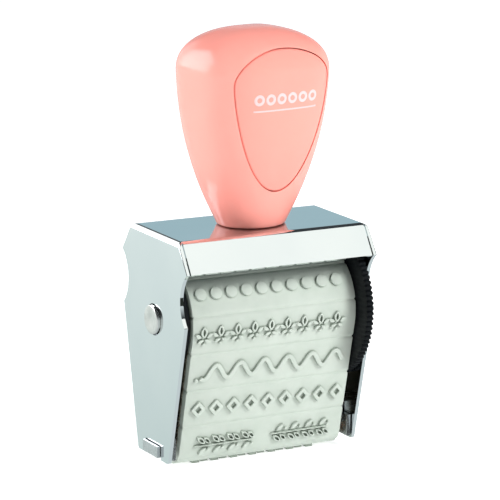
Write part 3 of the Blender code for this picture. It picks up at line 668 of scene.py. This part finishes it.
def panel_shell(name, side, grow, outer_lift, inner_lift, material, edge=0.0):
    """Egg-shaped shell that follows the handle's face between two lifts from it."""
    middle = PANEL_CENTRE_HEIGHT - 0.25 * PANEL_FALL
    outline = egg_outline(grow)
    mesh_data = bmesh.new()

    def at(x, height, share, lift):
        x, height = x * share, middle + (height - middle) * share
        return mesh_data.verts.new((*turned(x, side * (handle_face(x, height) + lift)), HANDLE_Z + height))

    shares = [1.0 - 0.04 * step for step in range(1, 24)]
    profile = [(0.0, edge), (0.3 * edge, 0.3 * edge), (edge, 0.0)] if edge else [(0.0, 0.0)]
    outer = [(1.0 - inset / PANEL_HALF_WIDTH, outer_lift - drop) for inset, drop in profile]
    outer += [(share, outer_lift) for share in shares]
    inner = [(share, inner_lift) for share in [1.0] + shares[1::2]]
    edges = []
    for layers in (outer, inner):
        rows = [[at(x, height, share, lift) for x, height in outline] for share, lift in layers]
        centre = at(0.0, middle, 1.0, layers[-1][1])
        skin(mesh_data, rows)
        close_to(mesh_data, rows[-1], centre)
        edges.append(rows[0])
    skin(mesh_data, edges)
    return piece(name, mesh_data, material)


def build_handle():
    """Glossy pear-shaped body with a recess for the panel on each face."""
    corner = BASE_EDGE_RADIUS
    base_drop = 0.0002
    rings = []
    for turn in (math.radians(degrees) for degrees in (90, 67, 45, 22, 0)):
        ring = handle_ring(corner * (1 - math.sin(turn)), corner * (1 - math.cos(turn)))
        rings.append([(x, y, z - base_drop) for x, y, z in ring])
    lower_steps, dome_steps = 64, 40
    for step in range(1, lower_steps + 1):
        rings.append(handle_ring(corner + (HANDLE_WIDEST - corner) * step / lower_steps))
    for step in range(1, dome_steps):
        rise = math.sin(0.5 * math.pi * step / dome_steps)
        rings.append(handle_ring(HANDLE_WIDEST + (HANDLE_HEIGHT - HANDLE_WIDEST) * rise))
    mesh_data = bmesh.new()
    rows = [[mesh_data.verts.new(point) for point in ring] for ring in rings]
    skin(mesh_data, rows)
    mesh_data.faces.new(rows[0])
    close_to(mesh_data, rows[-1], mesh_data.verts.new((HANDLE_SHIFT, 0.0, HANDLE_Z + HANDLE_HEIGHT)))
    handle = piece("handle_shell", mesh_data, PINK)
    past_face = 0.0015
    recess_floor = -PANEL_SUNK - PANEL_THICKNESS - GAP
    boolean(handle, "DIFFERENCE",
            panel_shell("front_recess", -1, GAP, past_face, recess_floor, PINK),
            panel_shell("back_recess", 1, GAP, past_face, recess_floor, PINK),
            prism("insert_bore", circle(INSERT_BORE_RADIUS), "Z", HANDLE_Z - 0.001,
                  HANDLE_Z + INSERT_BORE_DEPTH, PINK))
    handle.data.shade_smooth()
    handle.data.set_sharp_from_angle(angle=math.radians(40.0))
    finished(handle, "frame", "handle_plastic", "handle_body")
    for side, word in ((-1, "front"), (1, "back")):
        panel = panel_shell(f"handle_{word}_panel", side, 0.0, -PANEL_SUNK,
                            -PANEL_SUNK - PANEL_THICKNESS, PANEL_PINK, edge=0.00025)
        finished(panel, "frame", "inlay_plastic", f"handle_{word}_inlay")


def build_panel_mark():
    """Pale printed ornament on the front panel: a row of rings over a thin rule."""
    middle, ring_radius, hole_radius, pitch = 36.2, 1.5, 0.72, 3.45
    count = 6
    outlines = []
    for across in spots(count, pitch):
        centre = (across, middle)
        outlines += pierced(circle(ring_radius, centre, 28), circle(hole_radius, centre, 20))
    half = pitch * count / 2 - 0.2
    rule = middle - 3.0
    outlines.append(ribbon([(-half, rule), (half, rule)], 0.42))
    shapes = raised_shapes(outlines, low=-0.20, high=0.06, edge=0.02)
    slice_across(shapes, step=0.6, normal=(1.0, 0.0, 0.0))

    def on_panel(u, v, w):
        x, height = u * MM, v * MM
        return (*turned(x, -(handle_face(x, height) - PANEL_SUNK + w * MM)), HANDLE_Z + height)

    mark = bmesh.new()
    add_mapped(mark, shapes, on_panel)
    finished(piece("panel_mark", mark, PRINT_WHITE), "frame", "inlay_plastic")


# ---- band

class BandPath:
    """Closed path of the band's base, seen along the axle, measured from the front of the drum."""

    def __init__(self):
        drum = (0.0, AXLE_Z)
        corner = (-BAND_FLAT_HALF, BAND_LOW.z + RELIEF + BAND_CORNER_RADIUS)
        span = (corner[0] - drum[0], corner[1] - drum[1])
        shrink = BAND_DRUM_RADIUS - BAND_CORNER_RADIUS
        lean = math.acos(shrink / math.hypot(*span))
        run_angle = (math.atan2(span[1], span[0]) - lean) % (2 * math.pi)
        run = math.sqrt(math.hypot(*span) ** 2 - shrink ** 2)
        below = run_angle - math.pi
        corner_turn = math.pi / 2 - below
        mirror_corner = (-corner[0], corner[1])
        self.pieces = [
            ("line", run, drum, BAND_DRUM_RADIUS, run_angle),
            ("arc", corner_turn * BAND_CORNER_RADIUS, corner, BAND_CORNER_RADIUS, run_angle),
            ("line", 2 * BAND_FLAT_HALF, corner, BAND_CORNER_RADIUS, 1.5 * math.pi),
            ("arc", corner_turn * BAND_CORNER_RADIUS, mirror_corner, BAND_CORNER_RADIUS, 1.5 * math.pi),
            ("line", run, mirror_corner, BAND_CORNER_RADIUS, -below),
            ("arc", (math.pi + 2 * below) * BAND_DRUM_RADIUS, drum, BAND_DRUM_RADIUS, -below),
        ]
        self.length = sum(stretch[1] for stretch in self.pieces)
        self.bottom = run + corner_turn * BAND_CORNER_RADIUS + BAND_FLAT_HALF
        self.pitch = self.length / ROW_COUNT
        self.first = self.bottom - self.pitch / 2 + ROW_OFFSET

    def point(self, distance, lift):
        """(y, z) at a distance along the path, lifted along the outward normal."""
        distance %= self.length
        for kind, length, centre, radius, angle in self.pieces:
            if distance <= length:
                break
            distance -= length
        along = 0.0
        if kind == "arc":
            angle += distance / radius
        else:
            along = distance
        y, z = spun(radius + lift, along, angle)
        return centre[0] + y, centre[1] + z


def leaf(centre, length, width, angle, slit=0.0, steps=8):
    """Lens-shaped outline, with a narrower lens inside it as a slit."""
    def lens(long, wide):
        points = []
        for side in (1, -1):
            for step in range(steps):
                share = step / steps if side > 0 else 1 - step / steps
                across = side * 0.5 * wide * math.sin(math.pi * share) ** 0.8
                u, v = spun((share - 0.5) * long, across, angle)
                points.append((centre[0] + u, centre[1] + v))
        return points

    outlines = [list(reversed(lens(length, width)))]
    if slit:
        outlines.append(lens(length * 0.62, slit))
    return outlines


def ribbon(line, width):
    """Outline of a line drawn with a pen of the given width."""
    left, right = [], []
    for index, (u, v) in enumerate(line):
        before, after = line[max(index - 1, 0)], line[min(index + 1, len(line) - 1)]
        du, dv = after[0] - before[0], after[1] - before[1]
        size = math.hypot(du, dv)
        shift = (-dv / size * width / 2, du / size * width / 2)
        left.append((u + shift[0], v + shift[1]))
        right.append((u - shift[0], v - shift[1]))
    return right + list(reversed(left))


def spots(count, pitch, centre=0.0):
    """Even places along a row, about its centre."""
    return [centre + (index - (count - 1) / 2) * pitch for index in range(count)]


def diamond(centre, half_width, half_height, radius):
    u, v = centre
    return rounded([(u + half_width, v, radius), (u, v + half_height, radius),
                    (u - half_width, v, radius), (u, v - half_height, radius)], 3)


def discs_row():
    return [circle(1.65, (u, 0.45), 28) for u in spots(10, 4.62, -0.9)]


def flowers_row():
    """Fleurs: a split upper bud between two side petals, over a curled base."""
    petals = ((-0.15, 1.25, 3.0, 1.9, 88, 0.75), (1.55, 0.35, 2.0, 0.95, 28, 0.0),
              (-1.85, 0.35, 2.0, 0.95, 152, 0.0), (0.95, -1.15, 1.9, 0.9, -24, 0.0),
              (-1.15, -1.15, 1.9, 0.9, 204, 0.0))
    outlines = []
    for u in spots(9, 5.1, -1.4):
        for across, rise, length, width, lean, slit in petals:
            outlines += leaf((u + across, rise), length, width, math.radians(lean), slit)
        outlines.append(circle(0.42, (u - 0.12, -2.05), 12))
    return outlines


def wave_row():
    """A wavy line with a dot before its start."""
    pitch, amplitude, crest = 7.35, 2.0, -17.0
    start, stop, steps = -21.6, 22.2, 150
    line = []
    for step in range(steps + 1):
        u = start + (stop - start) * step / steps
        line.append((u, amplitude * math.cos(2 * math.pi * (u - crest) / pitch)))
    return [ribbon(line, 1.15), circle(0.55, (start - 1.2, -amplitude), 14)]


def diamonds_row():
    outlines = []
    for u in spots(9, 5.35, 0.3):
        outlines += pierced(diamond((u, 0.0), 2.25, 2.5, 0.5), diamond((u, 0.0), 0.95, 1.15, 0.12))
    return outlines


def vine_row():
    """Two sprays of slit leaves on a stem, with a plain space between them.

    The slit leaves stand above the left stem and hang below the right one.
    """
    stem_length, stem_rise, stem_steps = 17.6, 0.10, 20
    outlines = []
    for start, rise, side in ((-21.0, -0.5, 1), (2.6, 0.2, -1)):
        stem = [(start + stem_length * step / stem_steps, rise + stem_rise * step / stem_steps)
                for step in range(stem_steps + 1)]
        outlines.append(ribbon(stem, 0.26))
        for index in range(4):
            u = start + 2.0 + 4.5 * index
            outlines += leaf((u, rise + side * 1.65), 3.2, 1.40, math.radians(140), slit=0.75)
            outlines += leaf((u + 1.85, rise + side * 1.45), 2.9, 1.25, math.radians(140), slit=0.70)
            outlines += leaf((u + 0.6, rise - side * 1.65), 2.7, 1.1, math.radians(222))
            outlines.append(circle(0.36, (u + 2.4, rise - side * 1.2), 10))
    return outlines


def blocks_row():
    return [rounded_box((u, 0.0), 1.05, 1.7 if index % 2 else 2.4) for index, u in enumerate(spots(13, 2.95))]


def rings_row():
    outlines = []
    for u in spots(10, 4.6):
        outlines += pierced(circle(1.8, (u, 0.0), 24), circle(1.0, (u, 0.0), 18))
    return outlines


def zigzag_row():
    line = [(-22.0 + 2.0 * index, 1.7 if index % 2 else -1.7) for index in range(23)]
    return [ribbon(line, 0.9)] + [circle(0.5, (u, 2.6), 12) for u in spots(11, 4.0, -2.0)]


def stars_row():
    outlines = []
    for u in spots(9, 5.0):
        star = []
        for step in range(10):
            radius = 0.95 if step % 2 else 2.2
            angle = math.pi / 2 + math.pi * step / 5
            star.append((u + radius * math.cos(angle), radius * math.sin(angle)))
        outlines.append(star)
    return outlines


def squares_row():
    outlines = []
    for index, u in enumerate(spots(11, 4.1)):
        half = 1.5 if index % 2 else 0.9
        outlines.append(rounded_box((u, 0.0), half, half, 0.2))
    return outlines


def petals_row():
    outlines = []
    for u in spots(8, 5.6):
        for turn in range(4):
            angle = math.pi / 4 + math.pi * turn / 2
            outlines += leaf((u + 1.25 * math.cos(angle), 1.25 * math.sin(angle)), 1.9, 1.1, angle)
    return outlines


def dashes_row():
    outlines = []
    for u in spots(9, 4.9):
        outlines.append(rounded_box((u, 0.0), 1.8, 0.45, 0.3))
        outlines += [circle(0.55, (u, rise), 14) for rise in (1.9, -1.9)]
    return outlines


def leaves_row():
    outlines = []
    for index, u in enumerate(spots(12, 3.8)):
        outlines += leaf((u, 0.0), 4.0, 1.5, math.radians(60 if index % 2 else 120), slit=0.4)
    return outlines


# Round the band, from the row five before the one on the print face.
ROWS = (discs_row, flowers_row, wave_row, diamonds_row, vine_row, blocks_row, rings_row, zigzag_row,
        stars_row, squares_row, petals_row, dashes_row, leaves_row)
FIRST_ROW = -5


def band_stations(path):
    """(distance, groove depth, end notch) round the band: each row starts in a fine groove."""
    groove_side = [(0.00018, 0.00012, 0.0002), (0.00036, 0.00004, 0.0001), (GROOVE_HALF_WIDTH, 0.0, 0.0)]
    groove = [(-shift, depth, notch) for shift, depth, notch in reversed(groove_side)]
    groove += [(0.0, 0.00016, 0.0003)] + groove_side
    plain = path.pitch - 2 * GROOVE_HALF_WIDTH
    plain_steps = 16
    stations = []
    for row in range(ROW_COUNT):
        start = path.first + row * path.pitch
        stations += [(start + shift, depth, notch) for shift, depth, notch in groove]
        stations += [(start + GROOVE_HALF_WIDTH + plain * step / plain_steps, 0.0, 0.0)
                     for step in range(1, plain_steps)]
    return stations


def build_band(path):
    """Rubber band: base with grooves between the rows, and each row's raised pattern."""
    edge = 0.0002
    stations = []
    for distance, depth, notch in band_stations(path):
        half = BAND_HALF_WIDTH - notch
        right_end = [(half - edge, -depth), (half - 0.3 * edge, -0.3 * edge - depth),
                     (half, -edge - depth), (half, -BAND_THICKNESS)]
        section = [(-x, lift) for x, lift in reversed(right_end)] + right_end
        stations.append([(x, *path.point(distance, lift)) for x, lift in section])
    base = loft("band_base", stations, BAND, closed=True)
    mesh_data = bmesh.new()
    mesh_data.from_mesh(base.data)
    bpy.data.objects.remove(base, do_unlink=True)
    for row, outlines in enumerate(ROWS, FIRST_ROW):
        middle = path.first + (row + 0.5) * path.pitch
        shapes = raised_shapes(outlines(), low=-0.25, high=RELIEF / MM, edge=0.13)
        slice_across(shapes, step=0.8)

        def on_band(u, v, w, middle=middle):
            return (u * MM, *path.point(middle - v * MM, w * MM))

        add_mapped(mesh_data, shapes, on_band)
    finished(piece("relief_band", mesh_data, BAND, 40.0), "frame", "band_rubber", "pattern_band")


def build_lining(path):
    """Woven loop bonded inside the band, with a slightly frayed edge."""
    outer = -BAND_THICKNESS - 0.0001
    inner = -BAND_THICKNESS - GAP - LINING_THICKNESS
    count = 420
    stations = []
    for step in range(count):
        distance = path.length * step / count
        fray = 0.00012 * math.sin(step * 2.4) + 0.00008 * math.sin(step * 5.7)
        half = BAND_HALF_WIDTH - 0.0002 + fray
        section = [(-half, outer), (half, outer), (half, inner), (-half, inner)]
        stations.append([(x, *path.point(distance, lift)) for x, lift in section])
    lining = loft("lining_loop", stations, LINING, closed=True)
    finished(lining, "frame", "lining_fabric", "band_lining")


# ---- print bar, cushion

def build_bar():
    """Pressed bar with end flanges and the tabs that sit in the side plates' notches."""
    body_end = BAR_HIGH.x - TAB_LENGTH
    flange_start = body_end - BAR_FLANGE_THICKNESS
    bar = box("print_bar_pressed", (-body_end, -BAR_HALF_DEPTH, CUSHION_HIGH.z + GAP),
              (body_end, BAR_HALF_DEPTH, BAR_HIGH.z), BAR_STEEL)
    extras = []
    for side in (-1, 1):
        for word, end, half_depth, (foot, top) in (
                ("flange", body_end, BAR_FLANGE_HALF_DEPTH, BAR_FLANGE_ABOVE_FOOT),
                ("tab", BAR_HIGH.x, TAB_HALF_DEPTH, TAB_ABOVE_FOOT)):
            near, far = sorted((side * flange_start, side * end))
            extras.append(box(f"{word}_{side}", (near, -half_depth, FOOT_Z + foot),
                              (far, half_depth, FOOT_Z + top), BAR_STEEL))
    boolean(bar, "UNION", *extras)
    soften(bar, width=0.0002, segments=3)
    finished(bar, "frame", "pressed_steel", "print_bar")


def build_cushion():
    """Sponge pad under the bar, rounded to the band's corners and slightly crowned at its ends."""
    radius = BAND_CORNER_RADIUS - BAND_THICKNESS - LINING_THICKNESS - 2 * GAP
    centre_z = BAND_LOW.z + RELIEF + BAND_CORNER_RADIUS
    half = BAND_FLAT_HALF + radius
    outline = rounded([(-half, CUSHION_HIGH.z, 0.0003), (-half, centre_z - radius, radius),
                       (half, centre_z - radius, radius), (half, CUSHION_HIGH.z, 0.0003)], 8)
    middle = (CUSHION_HIGH.z + CUSHION_LOW.z) / 2
    crown = 0.0006
    right = [(CUSHION_HIGH.x - crown * (1 - share), 1.0 - 0.12 * share ** 2)
             for share in (0.0, 0.3, 0.7, 1.0)]
    ends = [(-x, scale) for x, scale in reversed(right)] + right
    stations = [[(x, y * scale, middle + (z - middle) * scale) for y, z in outline] for x, scale in ends]
    cushion = loft("sponge_cushion", stations, SPONGE)
    finished(cushion, "frame", "sponge_rubber", "print_cushion")


# ---- axle and wheels

def lathe(name, profile, material, segments=96):
    """Turn a closed profile of (x, radius) round the axle."""
    mesh_data = bmesh.new()
    rows = []
    for station in range(segments):
        angle = 2 * math.pi * station / segments
        rows.append([mesh_data.verts.new((x, radius * math.cos(angle), AXLE_Z + radius * math.sin(angle)))
                     for x, radius in profile])
    for here, there in zip(rows, rows[1:] + rows[:1]):
        for index in range(len(profile) - 1):
            mesh_data.faces.new((here[index], here[index + 1], there[index + 1], there[index]))
    bmesh.ops.remove_doubles(mesh_data, verts=mesh_data.verts, dist=1e-7)
    return piece(name, mesh_data, material, 30.0)


def build_axle():
    """Turned shaft with rounded, slightly dished ends."""
    end = AXLE_HIGH.x
    groove_in, groove_out = WHEEL_LOW.x + SHEET, PLATE_OUTER_X - SHEET
    right = [(groove_in, AXLE_RADIUS), (groove_in, RING_GROOVE_RADIUS), (groove_out, RING_GROOVE_RADIUS),
             (groove_out, AXLE_RADIUS)]
    right += quarter_round((end, AXLE_RADIUS), 0.0004, 6)
    right += [(end, 0.0022), (end - 0.00010, 0.0016), (end - 0.00014, 0.0)]
    left = [(-x, radius) for x, radius in reversed(right)]
    finished(lathe("axle_turned", left + right, STEEL), "roller", "bright_steel", "axle_shaft")


def wheel_outline():
    """Thumb wheel rim with rounded teeth."""
    points = []
    steps = 8 * WHEEL_TEETH
    for step in range(steps):
        angle = 2 * math.pi * step / steps
        wave = 0.5 + 0.5 * math.cos(WHEEL_TEETH * angle)
        reach = WHEEL_RADIUS / MM - TOOTH_DEPTH * (1.0 - min(1.0, 1.35 * wave ** 0.8))
        points.append((reach * math.cos(angle), reach * math.sin(angle)))
    return points


def build_disc(name, outline, face_low, face_high, node):
    """Moulded disc with a rounded rim, a counterbore and a hexagonal hole through its web."""
    low, high = face_low / MM, face_high / MM
    web_low, web_high = (high - DISC_WEB, high) if low < 0 else (low, low + DISC_WEB)
    rim = pierced(outline, circle(COUNTERBORE_RADIUS, segments=48))
    web = pierced(circle(COUNTERBORE_RADIUS + 0.4, segments=48), circle(HEX_HOLE_RADIUS, segments=6))

    def along_axle(u, v, w):
        return (w * MM, u * MM, AXLE_Z + v * MM)

    disc = bmesh.new()
    add_mapped(disc, raised_shapes(rim, low, high, edge=0.18, resolution=2), along_axle)
    add_mapped(disc, raised_shapes(web, web_low, web_high, edge=0.08), along_axle)
    finished(piece(name, disc, BLACK, 40.0), "roller", "black_plastic", node)


# ---- build

path = BandPath()
build_housing()
build_handle()
build_panel_mark()
build_band(path)
build_lining(path)
build_bar()
build_cushion()
build_axle()
build_disc("thumb_wheel_moulded", wheel_outline(), WHEEL_LOW.x, WHEEL_HIGH.x, "thumb_wheel")
build_disc("left_flange_moulded", circle((FLANGE_HIGH.z - AXLE_Z) / MM, segments=96),
           FLANGE_LOW.x, FLANGE_HIGH.x, "left_flange")

CAD_FINISHES = {
    "drum_core": GREY, "drum_sleeve": GRIP, "drive_pin": ZINC,
    "retaining_ring_left": SPRING_STEEL, "retaining_ring_right": SPRING_STEEL,
    "threaded_insert": BRASS, "handle_screw": ZINC, "plain_washer": ZINC, "lock_washer": SPRING_STEEL,
    "locating_pin": STEEL,
}
for node, finish in CAD_FINISHES.items():
    frame["nodes"][node].data.materials.clear()
    frame["nodes"][node].data.materials.append(finish)


# ---- studio

def staged(name, mesh, material):
    """Add a mesh to the set round the object."""
    mesh.materials.append(material)
    item = placed(name, mesh)
    return item


def rectangle(name, half_width, half_height, material):
    mesh = bpy.data.meshes.new(name)
    corners = [(-half_width, -half_height, 0.0), (half_width, -half_height, 0.0),
               (half_width, half_height, 0.0), (-half_width, half_height, 0.0)]
    mesh.from_pydata(corners, [], [(0, 1, 2, 3)])
    return staged(name, mesh, material)


def glow(name, low, high=None, start=-1.0, stop=1.0, axis="Y"):
    """Glowing material: one colour, or a run from low to high along an object axis."""
    material = bpy.data.materials.new(name)
    material.use_nodes = True
    tree = material.node_tree
    tree.nodes.remove(tree.nodes["Principled BSDF"])
    emission = shader_node(tree, "Emission", {"Color": (*low, 1.0)}, {})
    if high:
        place = shader_node(tree, "TexCoord", {}, {}).outputs["Object"]
        along = shader_node(tree, "SeparateXYZ", {}, {"Vector": place}).outputs[axis]
        share = shader_node(tree, "MapRange", {"From Min": start, "From Max": stop}, {"Value": along})
        mix = shader_node(tree, "Mix", {"A": (*low, 1.0), "B": (*high, 1.0)},
                          {"Factor": share.outputs["Result"]}, data_type="RGBA")
        tree.links.new(mix.outputs["Result"], emission.inputs["Color"])
    tree.links.new(emission.outputs["Emission"], tree.nodes["Material Output"].inputs["Surface"])
    return material


def direction(azimuth, elevation):
    """Unit vector towards a place round the object. Azimuth 0 is the front, 90 the thumb wheel side."""
    turn, climb = math.radians(azimuth), math.radians(elevation)
    return Vector((math.sin(turn) * math.cos(climb), -math.cos(turn) * math.cos(climb), math.sin(climb)))


CENTRE = Vector((0.0, 0.0, 0.055))
DOME_RADIUS = 1.6
FLOOR_HALF = 4.0


def face_centre(item, towards, distance):
    item.location = CENTRE + towards * distance
    item.rotation_mode = "QUATERNION"
    item.rotation_quaternion = towards.to_track_quat("Z", "Y")


def soft_light(name, azimuth, elevation, distance, size, power, colour=(1.0, 1.0, 1.0)):
    """Rectangular area light that doesn't show in reflections: the cards do."""
    data = bpy.data.lights.new(name, "AREA")
    data.shape = "RECTANGLE"
    data.size, data.size_y = size
    data.energy = power
    data.color = colour
    item = placed(name, data)
    face_centre(item, direction(azimuth, elevation), distance)
    item.visible_glossy = False


def reflections_only(item):
    for ray in ("camera", "diffuse", "shadow", "transmission", "volume_scatter"):
        setattr(item, f"visible_{ray}", False)


def reflection_card(name, azimuth, elevation, distance, size, material):
    """Card that shows only in reflections."""
    card = rectangle(name, size[0] / 2, size[1] / 2, material)
    face_centre(card, direction(azimuth, elevation), distance)
    reflections_only(card)


def reflection_dome(radius, material):
    """Sphere round the set that shows only in reflections."""
    mesh_data = bmesh.new()
    bmesh.ops.create_uvsphere(mesh_data, u_segments=64, v_segments=32, radius=radius)
    mesh = bpy.data.meshes.new("reflection_dome")
    mesh_data.to_mesh(mesh)
    mesh_data.free()
    dome = staged("reflection_dome", mesh, material)
    dome.location = CENTRE
    reflections_only(dome)


floor_finish = Finish("pale_floor", (0.92, 0.92, 0.92), 0.55)
floor_finish.colour(floor_finish.tint(floor_finish.noise(6.0), (0.90, 0.90, 0.90), (0.93, 0.93, 0.93)))
floor_finish.set("Specular IOR Level", 0.2)
floor_finish.set("Emission Color", (1.0, 1.0, 1.0, 1.0))
floor_finish.set("Emission Strength", 0.62)
floor = rectangle("floor", FLOOR_HALF, FLOOR_HALF, floor_finish.material)
floor.visible_glossy = False

world = bpy.data.worlds.new("studio")
bpy.context.scene.world = world
world.use_nodes = True
background = world.node_tree.nodes["Background"]
background.inputs["Color"].default_value = (0.97, 0.99, 1.0, 1.0)
background.inputs["Strength"].default_value = 0.30

soft_light("key_light", 36.0, 33.0, 0.9, (0.30, 0.30), 8.0)
soft_light("side_light", -106.0, 24.0, 0.9, (0.4, 0.5), 6.5, (1.0, 0.98, 0.99))
reflection_dome(DOME_RADIUS, glow("dome_glow", (0.72, 0.78, 0.79), (0.05, 0.055, 0.06), 0.0, 0.8, "Z"))
reflection_card("side_card", -152.4, -13.0, 0.5, (0.6, 0.34),
                glow("side_glow", (0.71, 0.81, 0.79), (0.93, 1.01, 0.99), -0.08, 0.03))
# Cards of one colour: azimuth, elevation, distance, size and glow.
PLAIN_CARDS = {
    "bend": (-162.0, 20.0, 1.0, (0.70, 0.52), (1.5, 1.5, 1.5)),
    "top": (152.4, 13.0, 1.1, (0.5, 0.34), (0.40, 0.56, 0.62)),
    "lip": (45.0, 50.0, 0.8, (0.84, 0.50), (1.22, 1.23, 1.18)),
    "edge": (28.7, -13.7, 0.6, (0.30, 0.24), (0.03, 0.035, 0.03)),
    "left": (-134.0, 24.0, 0.8, (0.56, 0.58), (5.0, 5.1, 5.3)),
    "rim": (-158.0, 4.0, 1.3, (0.50, 1.0), (2.4, 2.5, 2.5)),
}
for word, (azimuth, elevation, distance, size, colour) in PLAIN_CARDS.items():
    reflection_card(f"{word}_card", azimuth, elevation, distance, size, glow(f"{word}_glow", colour))

# Camera at the front left, a little above the stamp.
TARGET = Vector((0.0, 0.0, 0.0426))
DISTANCE = 0.8044
LENS = 212.256
SENSOR = 36.0
AIM_UP, AIM_RIGHT = 0.01408, 0.00020
ROLL = math.radians(0.63)


def view_axes(back):
    """Right, up and back of a level view that looks against back."""
    right = Vector((0.0, 0.0, 1.0)).cross(back).normalized()
    return right, back.cross(right), back


camera_data = bpy.data.cameras.new("camera")
camera_data.sensor_width = SENSOR
camera_data.lens = LENS
camera_data.clip_start, camera_data.clip_end = 0.01, 20.0
camera = placed("camera", camera_data)
right, up, back = view_axes(direction(-28.7, 13.66))
camera.location = TARGET + back * DISTANCE
aim = TARGET + up * AIM_UP + right * AIM_RIGHT
axes = Matrix(view_axes((camera.location - aim).normalized())).transposed()
camera.rotation_mode = "QUATERNION"
camera.rotation_quaternion = (axes @ Matrix.Rotation(ROLL, 3, "Z")).to_quaternion()
bpy.context.scene.camera = camera
bpy.context.scene.view_settings.view_transform = "Standard"
